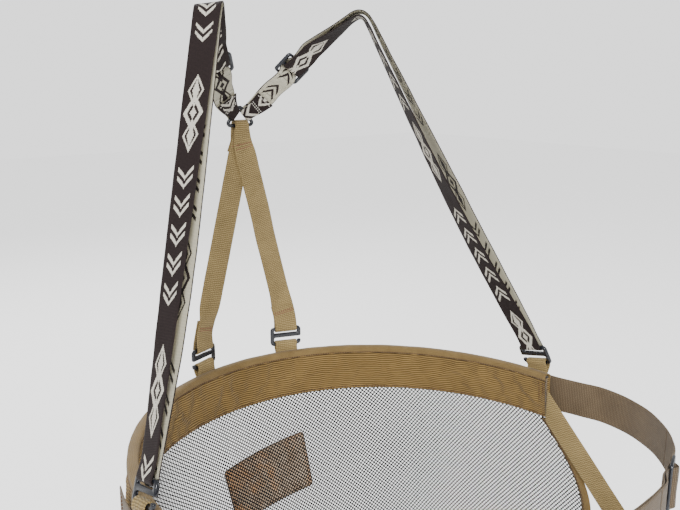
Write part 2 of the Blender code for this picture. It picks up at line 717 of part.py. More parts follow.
def box(name, low, high, rounding=0.0):
    """A mesh box between two corners, with its edges rounded."""
    low, high = Vector(low), Vector(high)
    shape = bmesh.new()
    bmesh.ops.create_cube(shape, size=1.0)
    bmesh.ops.scale(shape, vec=high - low, verts=shape.verts)
    bmesh.ops.translate(shape, vec=(low + high) / 2, verts=shape.verts)
    if rounding:
        bmesh.ops.bevel(shape, geom=shape.edges[:], offset=rounding, segments=2, profile=0.5,
                        affect="EDGES")
    mesh = bpy.data.meshes.new(name)
    shape.to_mesh(mesh)
    shape.free()
    return mesh


def boolean(target, name, low, high, operation="DIFFERENCE", rounding=0.0):
    """Cuts or joins a box given in the target's own axes."""
    other = bpy.data.objects.new(name, box(name, low, high, rounding))
    bpy.data.collections[CUTTERS].objects.link(other)
    other.parent = target
    other.hide_render = True
    other.display_type = "WIRE"
    step = target.modifiers.new(name, "BOOLEAN")
    step.operation = operation
    step.object = other


BUCKLE_PLACE = Vector((0, BELT_FRONT_Y, BELT_MID_Z))
BUCKLE_OUTER = 23 * MM             # half height of the buckle
BUCKLE_INNER = 19.6 * MM           # half height of its belt slots and its cavity
BUCKLE_DEPTH = 5.5 * MM            # half thickness of its bodies
MOUTH = 10 * MM                    # where the two bodies meet, from the buckle's centre
PRONG_HINGE = Vector((17, 0, 15.5)) * MM
BARB_REACH = 22 * MM               # from a prong's hinge to the face of its barb


def buckle_end(target, sign):
    """Belt slot and bar of one buckle body. sign is -1 for the body and +1 for the tongue."""
    far, near = BUCKLE_HALF - BUCKLE_BAR / 2, 26 * MM
    inner, depth, bar = BUCKLE_INNER, BUCKLE_DEPTH + MM, BUCKLE_BAR / 2
    spans = {"slot": (near, far, -depth, depth)}
    spans["bar_front"] = (near, far + 2 * BUCKLE_BAR, -depth, -bar)
    spans["bar_back"] = (near, far + 2 * BUCKLE_BAR, bar, depth)
    for label, (start, stop, front, back) in spans.items():
        x = sorted((sign * start, sign * stop))
        boolean(target, f"{target.name}_{label}", (x[0], front, -inner), (x[1], back, inner))


def make_buckle():
    """Side release buckle: a hollow body, a tongue with a guide, and two sprung prongs."""
    plastic = material("buckle_plastic", BLACK_PLASTIC, 0.45)
    placement = Matrix.Translation(BUCKLE_PLACE)
    outer, inner, depth = BUCKLE_OUTER, BUCKLE_INNER, BUCKLE_DEPTH
    tail = BUCKLE_HALF + BUCKLE_BAR / 2
    cavity, deep, cavity_end = 3.6 * MM, 30 * MM, -21 * MM
    socket_low, socket_high, socket_end = 10.2 * MM, 19 * MM, 20.2 * MM
    guide_end = -17 * MM

    block = box("buckle_body", (-tail, -depth, -outer), (MOUTH, depth, outer), 1.2 * MM)
    body = add("buckle_body", block, plastic, placement)
    boolean(body, "body_cavity", (cavity_end, -cavity, -inner), (MOUTH + MM, cavity, inner))
    window = (PRONG_HINGE.x - BARB_REACH - 7 * MM, PRONG_HINGE.x - BARB_REACH + 4 * MM)
    boolean(body, "body_windows", (window[0], -cavity, -deep), (window[1], cavity, deep))
    buckle_end(body, -1)

    start = MOUTH + 0.5 * MM
    block = box("buckle_tongue", (start, -depth, -outer), (tail, depth, outer), 1.2 * MM)
    tongue = add("buckle_tongue", block, plastic, placement)
    for sign in (-1, 1):
        low, high = sorted((sign * socket_low, sign * socket_high))
        boolean(tongue, f"tongue_socket_{sign}", (start - MM, -cavity, low), (socket_end, cavity, high))
    guide = Vector((start + 3 * MM, 2.5 * MM, 4 * MM))
    boolean(tongue, "tongue_guide", (guide_end, -guide.y, -guide.z), guide, "UNION")
    buckle_end(tongue, 1)

    arm, barb = 2.5 * MM, 5.2 * MM
    corners = [(arm, -arm), (arm, arm), (-BARB_REACH, arm), (-BARB_REACH, barb),
               (-BARB_REACH - 2.5 * MM, barb), (-BARB_REACH - 6.3 * MM, 0), (-BARB_REACH - 6.3 * MM, -arm)]
    radii = [2.3, 2.3, 0.5, 0.5, 0.8, 1.0, 1.0]
    outline = eased_outline(corners, [r * MM for r in radii])
    for sign, label in ((1, "upper"), (-1, "lower")):
        hinge = BUCKLE_PLACE + Vector((PRONG_HINGE.x, 0, sign * PRONG_HINGE.z))
        turned = frame_matrix(hinge, (1, 0, 0), (0, 0, sign))
        plate(f"buckle_prong_{label}", [outline], 6 * MM, plastic, turned, 0.3 * MM)


# ---- Leg straps ------------------------------------------------------------------------------------
def leg_course():
    """Course of the +X leg strap: from the bottom band, between the legs, and up round the thigh."""
    sewn = [np.array(seat_point(75 * MM, drop, 9 * MM)) for drop in (256 * MM, 304 * MM)]
    corners = sewn + [np.array(c) * MM for c in (
        (42, -116, -342), (26, -184, -354), (55, -245, -344), (120, -300, -318), (216, -345, -258),
        (236.2, -318, -222), (236.2, -312, -183),
    )]
    cuts = [c * MM for c in (12, 26, 30, 30, 30, 20, 14)]
    path = rounded_path(corners, cuts, 3, 26 * MM)
    level, thigh, ahead = (1, -0.36, 0), (0.6, 0.29, -0.75), (0, 1, -0.05)
    widths = [level, level, (0.55, 0, -0.8), (0.1, 0.1, -1), (0.3, -0.2, -0.9), thigh, thigh,
              (0.25, 0.7, -0.5), ahead, ahead]
    return Course(path, [0, 0.09, 0.22, 0.36, 0.5, 0.62, 0.82, 0.88, 0.93, 1], widths)


def make_leg_strap(side, label, course):
    """The strap is sewn to the seat and its free tail hangs from the slide; a short anchor holds the
    slide to the bridge webbing."""
    slide = course.length - LEG_SLIDE_BACK
    bar = SLIDE_BAR / 2
    fold = fold_radius(bar * math.sqrt(2), WEBBING_THICK)
    beside = bar + GAP + WEBBING_THICK / 2
    strap = [(s, 0) for s in course.at if s < slide - 26 * MM]
    strap += [(slide - SLIDE_PITCH - 6 * MM, -beside * 0.8), (slide - SLIDE_PITCH, -beside)]
    strap += [(slide - 4 * MM, -beside)]
    strap += turn_round(slide, fold, 180, 0)
    strap += [(slide - 4 * MM, beside), (slide - SLIDE_PITCH, beside), (slide - 30 * MM, beside),
              (slide - 52 * MM, beside)]
    top = slide + SLIDE_PITCH
    sewn = [top + reach * MM for reach in (12, 16, 20, 24)]
    anchor = [(s, -SEWN_OUT) for s in reversed(sewn)] + [(top + 5 * MM, -fold * 0.8)]
    anchor += turn_round(top, fold, 180, 360)
    anchor += [(top + 5 * MM, fold * 0.8)] + [(s, SEWN_OUT) for s in sewn]
    anchor += [(s, SEWN_OUT) for s in course.at if s > top + 30 * MM]
    for name, stations in (("leg_strap", strap), ("leg_anchor", anchor)):
        rows = band_rows(course, [(a, o, WEBBING_WIDTH) for a, o in stations])
        sheet(f"{name}_{label}", sided(rows, side), WEBBING_THICK, webbing_material())


def stand_on_origin(origin):
    """Moves everything so that the world origin is at the centre of the bottom of the bounding box."""
    bpy.context.view_layer.update()
    depsgraph = bpy.context.evaluated_depsgraph_get()
    corners = []
    for obj in bpy.data.collections[COLLECTION].objects:
        if obj is origin:
            continue
        evaluated = obj.evaluated_get(depsgraph)
        mesh = evaluated.to_mesh()
        places = np.empty(len(mesh.vertices) * 3)
        mesh.vertices.foreach_get("co", places)
        places = places.reshape(-1, 3) @ np.array(evaluated.matrix_world.to_3x3()).T
        places += np.array(evaluated.matrix_world.translation)
        corners += [places.min(axis=0), places.max(axis=0)]
        evaluated.to_mesh_clear()
    low, high = np.min(corners, axis=0), np.max(corners, axis=0)
    origin.location = (-(low[0] + high[0]) / 2, -(low[1] + high[1]) / 2, -low[2])
    bpy.context.view_layer.update()


def build():
    clear_scene()
    new_collection(COLLECTION)
    new_collection(CUTTERS)
    origin = bpy.data.objects.new("saddle_origin", None)
    bpy.data.collections[COLLECTION].objects.link(origin)

    make_mesh_panel()
    make_band("top", 0.0)
    make_band("bottom", SEAT_HEIGHT - BAND_HEIGHT)
    make_band_binding("top", 0.0, 1)
    make_band_binding("bottom", SEAT_HEIGHT, -1)
    make_leather_patch()
    for side, label in ((-1, "left"), (1, "right")):
        make_side_binding(side, label)
        make_bridge_webbing(side, label)

    hooks = hook_places()
    for name, (side, along, placement) in hooks.items():
        make_g_hook(f"g_hook_{name}", placement, HOOK_GATE_SIDE[name])
        make_hook_loop(f"hook_loop_{name}", placement, side * along)
    make_ring()
    suspender = suspender_course(hooks["front_right"][2])
    belt = belt_course()
    leg = leg_course()
    metal = material("slide_black", HOOK_METAL, 0.4, 0.6)
    for side, label in ((-1, "left"), (1, "right")):
        make_yoke_leg(side, label, hooks[f"back_{label}"][2])
        make_suspender(side, label, suspender)
        place = slide_placement(suspender, SLIDE_ALONG, side)
        make_slide(f"tri_glide_{label}", place, WEBBING_WIDTH, metal)
        make_belt(side, label)
        make_leg_strap(side, label, leg)
        place = slide_placement(leg, leg.length - LEG_SLIDE_BACK, side)
        make_slide(f"leg_slide_{label}", place, WEBBING_WIDTH, metal)
    place = slide_placement(belt, belt.length - BELT_SLIDE_ALONG, 1)
    make_slide("belt_slide", place, BELT_WIDTH, metal)
    make_buckle()
    stand_on_origin(origin)


build()
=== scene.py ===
"""Looks for the tree saddle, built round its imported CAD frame.

The soft pieces are built again here at a finer grain, from the same driving dimensions as the solids
they stand for, and each carries its distance along and across the cloth so that weaves and motifs
follow it. Metres, +Z up, the wearer faces -Y.
"""

import json
import math

import bpy
import numpy as np
from mathutils import Matrix, Vector, noise


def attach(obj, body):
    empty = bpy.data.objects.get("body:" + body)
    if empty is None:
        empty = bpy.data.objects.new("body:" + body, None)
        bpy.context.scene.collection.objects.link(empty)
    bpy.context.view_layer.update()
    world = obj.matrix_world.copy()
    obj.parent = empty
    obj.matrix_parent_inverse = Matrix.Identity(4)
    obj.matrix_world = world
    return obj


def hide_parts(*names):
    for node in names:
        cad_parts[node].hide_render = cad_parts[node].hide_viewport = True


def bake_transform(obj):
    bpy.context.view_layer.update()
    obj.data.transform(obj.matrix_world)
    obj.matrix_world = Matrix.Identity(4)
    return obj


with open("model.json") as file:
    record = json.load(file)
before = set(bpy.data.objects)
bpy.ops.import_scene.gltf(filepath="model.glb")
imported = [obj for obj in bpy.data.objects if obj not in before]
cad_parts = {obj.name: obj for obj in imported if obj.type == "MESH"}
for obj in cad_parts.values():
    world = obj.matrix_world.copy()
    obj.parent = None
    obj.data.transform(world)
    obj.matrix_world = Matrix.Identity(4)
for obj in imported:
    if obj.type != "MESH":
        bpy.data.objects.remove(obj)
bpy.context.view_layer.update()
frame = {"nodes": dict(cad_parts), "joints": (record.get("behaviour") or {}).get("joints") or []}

MM = 0.001

# ---- Driving dimensions, as in the solids ----------------------------------------------------------
SEAT_HALF_WIDTH = 222.6 * MM
SEAT_DEPTH = 238.9 * MM
SEAT_HEIGHT = 290 * MM
BAND_HEIGHT = 50 * MM
SIDE_BULGE = 56 * MM
SIDE_FLARE = 10 * MM
WEBBING_WIDTH = 25.4 * MM
BELT_WIDTH = 38.1 * MM
GAP = 0.4 * MM
WEBBING_THICK = 1.4 * MM
STRAP_THICK = 1.1 * MM
SEWN_OUT = 1.5 * MM
BELT_THICK = 1.4 * MM
BRIDGE_OUT = 3.0 * MM
LOOP_PLY_OUT = (7.0 * MM, 9.0 * MM)
BELT_OUT = 11.0 * MM
PATCH_SIZE = (118 * MM, 66 * MM)
PATCH_ALONG = 10 * MM
PATCH_DROP = 135 * MM
PATCH_TURN = -8
PATCH_OUT, PATCH_THICK = 1.75 * MM, 1.5 * MM
HOOK_ALONG_BACK = 52 * MM
HOOK_ALONG_FRONT_INSET = 19 * MM
HOOK_AXIS_HEIGHT = 9 * MM
HOOK_OUT = 10.4 * MM
BACK_HOOK_TURN = 20
FRONT_HOOK_ROLL = 13
RING_BAR = Vector((0, 3.3, 262)) * MM
RING_HALF_WIDTH = 17.5 * MM
RING_HEIGHT = 20 * MM
RING_WIRE = 2.0 * MM
SHOULDER = Vector((87.5, -91.7, 379)) * MM
BACK_BOW = Vector((50.4, -34.6, 329)) * MM
HOOK_TOP = 18.6 * MM
HOOK_BAR = 3.6 * MM
HOOK_THICK = 3.4 * MM
SLIDE_BAR = 2.6 * MM
SLIDE_PITCH = 10.5 * MM
SLIDE_ALONG = 68 * MM
BUCKLE_HALF = 32.5 * MM
BUCKLE_BAR = 3.0 * MM
BELT_HALF_WIDTH = 248 * MM
BELT_FRONT_Y = -440 * MM
BELT_MID_Z = -22.5 * MM
BELT_SLIDE_ALONG = 150 * MM
LEG_SLIDE_BACK = 128 * MM

SIDES = ((-1, "left"), (1, "right"))

# The seat's own origin is the middle of its top edge at the back. The ring's joint fixes it in the frame.
RING_JOINT = next(j for j in frame["joints"] if j["name"] == "yoke_ring_swing")
ORIGIN = np.array(Vector(RING_JOINT["pos_m"]) - RING_BAR)


# ---- The seat surface ------------------------------------------------------------------------------
def lengths_along(points):
    """The distance along a line to each of its points."""
    return np.concatenate(([0], np.cumsum(np.linalg.norm(np.diff(points, axis=0), axis=1))))


ANGLES = np.linspace(0, math.pi / 2, 721)
ARC_X = SEAT_HALF_WIDTH * np.sin(ANGLES)
ARC_Y = SEAT_DEPTH * (np.cos(ANGLES) - 1)
ARC_LENGTHS = lengths_along(np.stack([ARC_X, ARC_Y], axis=1))
BAND_HALF_LENGTH = float(ARC_LENGTHS[-1])


def lean(angle, drop):
    """How far the seat stands out from an upright wall: tucked in at the back, flared at its sides."""
    tuck = 0.15 * drop + 0.15 * drop * drop
    flare = SIDE_FLARE * np.sin(math.pi * drop / SEAT_HEIGHT)
    return flare * np.sin(angle) ** 2 - tuck * np.cos(angle) ** 2


def seat_points(along, drop, out=0.0):
    """Points on the seat: along its length from the back, down from its top edge, out from its surface."""
    along, drop, out = np.broadcast_arrays(along, drop, out)
    side = np.where(along < 0, -1.0, 1.0)
    length = np.minimum(np.abs(along), BAND_HALF_LENGTH)
    angle = np.interp(length, ARC_LENGTHS, ANGLES)
    normal = np.stack([np.sin(angle) / SEAT_HALF_WIDTH, np.cos(angle) / SEAT_DEPTH, 0 * angle], axis=-1)
    normal /= np.linalg.norm(normal, axis=-1, keepdims=True)
    point = np.stack([SEAT_HALF_WIDTH * np.sin(angle), SEAT_DEPTH * (np.cos(angle) - 1), -drop], axis=-1)
    point = point + normal * (lean(angle, drop) + out)[..., None]
    point[..., 1] -= np.maximum(np.abs(along) - BAND_HALF_LENGTH, 0)
    point[..., 0] *= side
    return point


def side_reach(drop):
    """How far the net's side edge bulges forward past the bands."""
    run = (np.asarray(drop) - BAND_HEIGHT) / (SEAT_HEIGHT - 2 * BAND_HEIGHT)
    return SIDE_BULGE * np.sin(math.pi * np.clip(run, 0, 1))


def ripple(places, size, depth, seed=0.0):
    """A smooth random height at each place, for cloth that isn't quite flat."""
    shape = places.shape[:-1]
    heights = [noise.noise(Vector(p) / size + Vector((seed, 2.3 * seed, 0))) for p in places.reshape(-1, 3)]
    return depth * np.array(heights).reshape(shape)


# ---- Paths for straps ------------------------------------------------------------------------------
def unit(vector):
    vector = np.asarray(vector, float)
    return vector / np.linalg.norm(vector)


def mirrored(points, side):
    return np.asarray(points) * np.array([side, 1, 1])


def rounded_path(corners, cuts, steps=6, spacing=20 * MM):
    """Points along straight runs between corners, with each corner rounded from its cut on."""
    corners = [np.asarray(c, float) for c in corners]
    path = [corners[0]]

    def run_to(target):
        count = max(int(np.linalg.norm(target - path[-1]) / spacing), 1)
        here = path[-1]
        for step in range(1, count + 1):
            path.append(here + (target - here) * step / count)

    for before, corner, after, cut in zip(corners, corners[1:], corners[2:], cuts):
        enter = corner + unit(before - corner) * cut
        leave = corner + unit(after - corner) * cut
        run_to(enter)
        for step in range(1, steps + 1):
            t = step / steps
            path.append((1 - t) ** 2 * enter + 2 * t * (1 - t) * corner + t ** 2 * leave)
    run_to(corners[-1])
    return np.array(path)


class Course:
    """A strap's course: a centre line with a width direction and an outward direction at each place."""

    def __init__(self, path, widths_at, widths):
        self.path = path
        self.at = lengths_along(path)
        self.length = float(self.at[-1])
        self.widths_at = np.asarray(widths_at) * self.length
        self.widths = np.asarray([unit(w) for w in widths])

    def centre(self, along):
        inside = min(max(along, 0), self.length)
        return np.array([np.interp(inside, self.at, self.path[:, k]) for k in range(3)])

    def place(self, along):
        step = 1.5 * MM
        inside = min(max(along, 0), self.length)
        forward = unit(self.centre(inside + step) - self.centre(inside - step))
        point = self.centre(along) + forward * (along - inside)
        width = np.array([np.interp(inside, self.widths_at, self.widths[:, k]) for k in range(3)])
        width = unit(width - forward * (width @ forward))
        return point, width, np.cross(width, forward)


def strap_rows(course, stations, width, side=1, step=2.5 * MM):
    """Fine rows of (left edge, right edge, along) from a course's (along, out) stations.

    The width is a function of the distance along. Side -1 gives the strap mirrored to -X."""
    rows = []
    for along, out in stations:
        point, across, outward = course.place(along)
        middle, half = point + outward * out, across * width(along) / 2
        edges = (middle - half, middle + half) if side > 0 else (middle + half, middle - half)
        rows.append(np.concatenate([*mirrored(edges, side), [along]]))
    return smooth(rows, step)


def section(whole, start, end):
    """The rows of a strip from one to another, both included."""
    return {key: values[start:end + 1] for key, values in whole.items()}


def first_row(reached, start=0):
    """The first row from a start for which something holds."""
    return start + int(np.argmax(reached[start:]))


def turn_round(along, radius, start, end, steps=10):
    """(along, out) stations round a bar at a distance along the strap, from one angle to another."""
    angles = np.radians(np.linspace(start, end, steps + 1))
    return [(along + radius * math.sin(a), radius * math.cos(a)) for a in angles]


def half_turn(steps):
    """(sine, cosine) pairs at even steps through half a turn."""
    return [(math.sin(math.pi * k / steps), math.cos(math.pi * k / steps)) for k in range(steps + 1)]


def fold_radius(bar, thickness, layer=0):
    """The radius of a strap's middle where it folds round a bar, over any layers already on it."""
    return bar + GAP + thickness / 2 + layer * (thickness + GAP)


def curve(t, start, leaving, end, arriving):
    """A place on a smooth curve between two ends, from its slopes there."""
    return ((2 * t ** 3 - 3 * t ** 2 + 1) * start + (t ** 3 - 2 * t ** 2 + t) * leaving
            + (3 * t ** 2 - 2 * t ** 3) * end + (t ** 3 - t ** 2) * arriving)


def smooth(rows, step=2.5 * MM):
    """Rows at an even fine spacing on a smooth curve through the given rows."""
    rows = np.asarray(rows, float)
    ends = np.vstack([2 * rows[0] - rows[1], rows, 2 * rows[-1] - rows[-2]])
    fine = [rows[0]]
    for p0, p1, p2, p3 in zip(ends, ends[1:], ends[2:], ends[3:]):
        a, b, c = (np.linalg.norm(q[:6] - p[:6]) + 1e-9 for p, q in ((p0, p1), (p1, p2), (p2, p3)))
        m1 = (p2 - p1) + b * ((p1 - p0) / a - (p2 - p0) / (a + b))
        m2 = (p2 - p1) + b * ((p3 - p2) / c - (p3 - p1) / (b + c))
        count = max(int(math.ceil(b / math.sqrt(2) / step)), 1)
        fine += [curve(i / count, p1, m1, p2, m2) for i in range(1, count + 1)]
    return np.array(fine)


# ---- Cloth pieces ----------------------------------------------------------------------------------
# Places across a strap, closer together towards its edges
ACROSS = np.array([-1, -0.975, -0.9, -0.75, -0.5, -0.25, 0, 0.25, 0.5, 0.75, 0.9, 0.975, 1])


def strip(rows, seed=0.0, wave=0.25 * MM):
    """A sheet's grid with its distances along and across, from rows of its two edges."""
    left, right = rows[:, None, 0:3], rows[:, None, 3:6]
    share = (ACROSS[None, :, None] + 1) / 2
    grid = left * (1 - share) + right * share
    widths = np.linalg.norm(rows[:, 3:6] - rows[:, 0:3], axis=1)
    run = lengths_along(grid.mean(axis=1))
    across = ACROSS[None, :] * widths[:, None] / 2
    cloth = np.stack([np.broadcast_to(run[:, None], across.shape), across, 0 * across], axis=-1)
    grid = grid + normals_of(grid) * ripple(cloth, 22 * MM, wave, seed)[..., None]
    return {"grid": grid, "run": np.broadcast_to(run[:, None], across.shape), "across": across}


def normals_of(grid):
    """The direction that each point of a grid faces."""
    along = np.gradient(grid, axis=0)
    across = np.gradient(grid, axis=1)
    normal = np.cross(across, along)
    return normal / (np.linalg.norm(normal, axis=-1, keepdims=True) + 1e-12)


def put(name, data):
    """An object in the scene."""
    obj = bpy.data.objects.new(name, data)
    bpy.context.scene.collection.objects.link(obj)
    return obj


def put_mesh(name, points, faces, finish, **distances):
    """A smooth mesh from points measured from the seat's origin, with their distances on the cloth."""
    mesh = bpy.data.meshes.new(name)
    mesh.from_pydata((np.asarray(points) + ORIGIN).tolist(), [], faces)
    for label, values in distances.items():
        layer = mesh.attributes.new(label, "FLOAT", "POINT")
        layer.data.foreach_set("value", np.ravel(values).astype(np.float32))
    mesh.materials.append(finish.material)
    mesh.shade_smooth()
    obj = put(name, mesh)
    return obj


def on_saddle(obj, *nodes):
    """Cloth that stays with the saddle and is seen in place of CAD nodes."""
    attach(obj, "saddle")
    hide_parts(*nodes)


def blend_along(obj, body, course, start, end, side=1):
    """Bakes the cloth's placement into its points."""
    places = [tuple(map(float, mirrored(course.centre(along), side) + ORIGIN)) for along in (start, end)]
    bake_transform(obj)


def piece(name, strips, thickness, finish):
    """One mesh of closed, thin shells with eased edges, each from a grid of middle points."""
    points, faces, run, across, face = [], [], [], [], []
    for part in strips:
        grid = part["grid"]
        rows, columns = grid.shape[:2]
        normal = normals_of(grid)
        ease = np.ones(columns)
        ease[[0, -1]] = 0.0
        ease[[1, -2]] = 0.72
        lift = normal * (thickness / 2) * ease[None, :, None]
        start = len(points)
        tone = np.where(ease > 0, 1.0, 0.0)
        for sign, places in ((1, grid + lift), (-1, grid - lift)):
            points.extend(places.reshape(-1, 3))
            run.extend(part["run"].reshape(-1))
            across.extend(part["across"].reshape(-1))
            face.extend(np.tile(sign * tone, rows))
        size = rows * columns
        index = np.arange(size).reshape(rows, columns) + start
        a, b, c, d = index[:-1, :-1], index[:-1, 1:], index[1:, 1:], index[1:, :-1]
        top = np.stack([a, b, c, d], axis=-1).reshape(-1, 4)
        faces.extend(top.tolist())
        faces.extend((top[:, ::-1] + size).tolist())
        for row in (0, rows - 1):
            line = index[row]
            ends = np.stack([line[:-1], line[1:], line[1:] + size, line[:-1] + size], axis=-1)
            faces.extend((ends if row else ends[:, ::-1]).tolist())
    obj = put_mesh(name, points, faces, finish, run=run, across=across, face=face)
    weld = obj.modifiers.new("weld", "WELD")
    weld.merge_threshold = 0.005 * MM
    bpy.context.view_layer.update()
    settle(obj)
    return obj


def settle(obj):
    """Applies the piece's modifiers, keeping its distances on the cloth."""
    depsgraph = bpy.context.evaluated_depsgraph_get()
    mesh = bpy.data.meshes.new_from_object(obj.evaluated_get(depsgraph))
    obj.modifiers.clear()
    old = obj.data
    obj.data = mesh
    bpy.data.meshes.remove(old)
    mesh.name = obj.name


# ---- Finishes --------------------------------------------------------------------------------------
class Finish:
    """A Principled material whose patterns are written as arithmetic on node sockets."""

    def __init__(self, name, slot):
        self.material = bpy.data.materials.new(name)
        self.material.use_nodes = True
        self.tree = self.material.node_tree
        self.shader = self.tree.nodes["Principled BSDF"]
        self.slot = slot

    def math(self, operation, *values, clamp=False):
        node = self.tree.nodes.new("ShaderNodeMath")
        node.operation = operation
        node.use_clamp = clamp
        for socket, value in zip(node.inputs, values):
            self.join(value, socket)
        return node.outputs[0]

    def join(self, value, socket):
        if isinstance(value, bpy.types.NodeSocket):
            self.tree.links.new(value, socket)
        else:
            socket.default_value = value

    def cloth(self, name, scale=1 / MM):
        """A distance on the cloth, in millimetres."""
        node = self.tree.nodes.new("ShaderNodeAttribute")
        node.attribute_name = name
        return self.times(node.outputs["Fac"], scale)

    def place(self):
        return self.tree.nodes.new("ShaderNodeTexCoord").outputs["Object"]

    def plane(self, x, y, z=0.0):
        node = self.tree.nodes.new("ShaderNodeCombineXYZ")
        for socket, value in zip(node.inputs, (x, y, z)):
            self.join(value, socket)
        return node.outputs[0]

    def noise(self, vector, scale, detail=3.0, rough=0.55):
        node = self.tree.nodes.new("ShaderNodeTexNoise")
        self.join(vector, node.inputs["Vector"])
        node.inputs["Scale"].default_value = scale
        node.inputs["Detail"].default_value = detail
        node.inputs["Roughness"].default_value = rough
        return node.outputs["Fac"]

    def cells(self, vector, scale):
        node = self.tree.nodes.new("ShaderNodeTexVoronoi")
        self.join(vector, node.inputs["Vector"])
        node.inputs["Scale"].default_value = scale
        return node.outputs["Distance"]

    def times(self, one, other):
        return self.math("MULTIPLY", one, other)

    def apart(self, one, other):
        return self.math("ABSOLUTE", self.math("SUBTRACT", one, other))

    def fade(self, value, low, high, start=0.0, end=1.0):
        node = self.tree.nodes.new("ShaderNodeMapRange")
        for socket, number in zip(node.inputs, (value, low, high, start, end)):
            self.join(number, socket)
        return node.outputs[0]

    def wave(self, value, pitch, shift=0.0):
        """0 to 1 and back once every pitch."""
        turned = self.math("ADD", self.times(value, 2 * math.pi / pitch), shift)
        return self.math("MULTIPLY_ADD", self.math("SINE", turned), 0.5, 0.5)

    def blend(self, share, first, second):
        node = self.tree.nodes.new("ShaderNodeMix")
        node.data_type = "RGBA"
        self.join(share, node.inputs[0])
        for socket, colour in zip((node.inputs[6], node.inputs[7]), (first, second)):
            self.join(colour if isinstance(colour, bpy.types.NodeSocket) else (*colour, 1.0), socket)
        return node.outputs[2]

    def bump(self, height, depth, strength=1.0):
        node = self.tree.nodes.new("ShaderNodeBump")
        node.inputs["Strength"].default_value = strength
        node.inputs["Distance"].default_value = depth
        self.join(height, node.inputs["Height"])
        before = self.shader.inputs["Normal"]
        if before.is_linked:
            self.tree.links.new(before.links[0].from_socket, node.inputs["Normal"])
        self.tree.links.new(node.outputs[0], before)

    def set(self, **values):
        for name, value in values.items():
            self.join(value, self.shader.inputs[name.replace("_", " ")])
        return self


def fuzzy(finish, sheen=0.15):
    """The soft edge light of cloth."""
    finish.shader.inputs["Sheen Weight"].default_value = sheen
    finish.shader.inputs["Sheen Roughness"].default_value = 0.5
    finish.shader.inputs["Specular IOR Level"].default_value = 0.25


def webbing_finish(name, slot, dark_and_groove_shade, light_and_ridge_highlight, rib=2.0, column=2.4, weave_shading_strength=0.85):
    """Woven webbing: ribs across the strap, a little offset column by column, its colour darker in the
    grooves between ribs and columns as painted shade.
    """
    f = Finish(name, slot)
    run, across = f.cloth("run"), f.cloth("across")
    columns = f.math("DIVIDE", across, column)
    odd = f.times(f.math("FLOOR", f.math("MODULO", f.math("ADD", columns, 40), 2)), 0.9)
    ribs = f.wave(run, rib, odd)
    between = f.math("ABSOLUTE", f.math("SINE", f.times(columns, math.pi)))
    weave = f.times(f.math("MULTIPLY_ADD", ribs, 0.8, 0.2), f.math("POWER", between, 0.25))
    cloth = f.plane(run, across)
    worn = f.noise(cloth, 0.045, 4.0)
    yarn = f.noise(f.plane(f.times(run, 0.25), across), 1.6, 2.0)
    # Painted shade and highlight: the weave puts the dark tone in its grooves and the light tone on its
    # ridges; the worn and yarn noise add real tone.
    tone = f.math("ADD", f.times(weave, weave_shading_strength), f.times(worn, 0.45))
    tone = f.math("ADD", tone, f.math("MULTIPLY_ADD", yarn, 0.3, -0.25), clamp=True)
    colour = f.blend(tone, dark_and_groove_shade, light_and_ridge_highlight)
    f.set(Base_Color=colour, Roughness=f.fade(weave, 0, 1, 0.92, 0.68))
    f.bump(weave, 0.35 * MM, 0.7)
    f.bump(worn, 0.5 * MM, 0.25)
    fuzzy(f)
    return f


RIB_PITCH = 2.3 * MM


def band_finish():
    """Ribbed band cloth: fine cords along the band, crossed by a faint tight weave, painted darker in the
    grooves between cords as shade and lighter on the cords as highlight.
    """
    f = Finish("ribbed_band_cloth", "coyote_band")
    run, across = f.cloth("run"), f.cloth("across")
    cord = f.math("POWER", f.wave(across, RIB_PITCH / MM), 0.7)
    row = f.math("FLOOR", f.math("DIVIDE", across, RIB_PITCH / MM))
    tick = f.wave(run, 0.9, f.times(row, math.pi))
    weave = f.math("ADD", f.times(cord, 0.8), f.times(tick, 0.2))
    cloth = f.plane(run, across)
    worn = f.noise(f.plane(f.times(run, 0.6), across), 0.03, 4.0)
    slub = f.noise(f.plane(f.times(run, 0.08), across), 1.1, 2.0)
    # Painted shade and highlight: the dark tone lies in the grooves between the cords, where the geometry's
    # cords also dip, and the light tone on the cords; the worn and slub noise add real tone.
    tone = f.math("ADD", f.times(weave, 1.2), f.times(worn, 0.5))
    tone = f.math("ADD", tone, f.math("MULTIPLY_ADD", slub, 0.35, -0.6), clamp=True)
    f.set(Base_Color=f.blend(tone, (0.038, 0.02, 0.004), (0.37, 0.236, 0.08)), Roughness=0.85)
    f.bump(weave, 0.45 * MM, 0.8)
    f.bump(f.noise(cloth, 0.12, 3.0), 1.2 * MM, 0.3)
    fuzzy(f)
    return f


# Dark and light tones of the suspenders' threads, for the ground, the motif's face and its reverse: the
# weave paints the dark tone in its grooves as shade and the light tone on its ridges as highlight
BROWN = (0.006, 0.003, 0.003), (0.046, 0.026, 0.025)
IVORY = (0.46, 0.42, 0.33), (0.90, 0.86, 0.76)
BEIGE = (0.34, 0.32, 0.23), (0.74, 0.70, 0.56)
# The start is added so that distances along a strap stay positive
MOTIF_PERIOD, MOTIF_START = 226.6, 5200
MOTIF_PHASE = {"left": -26.4, "right": -115.4}


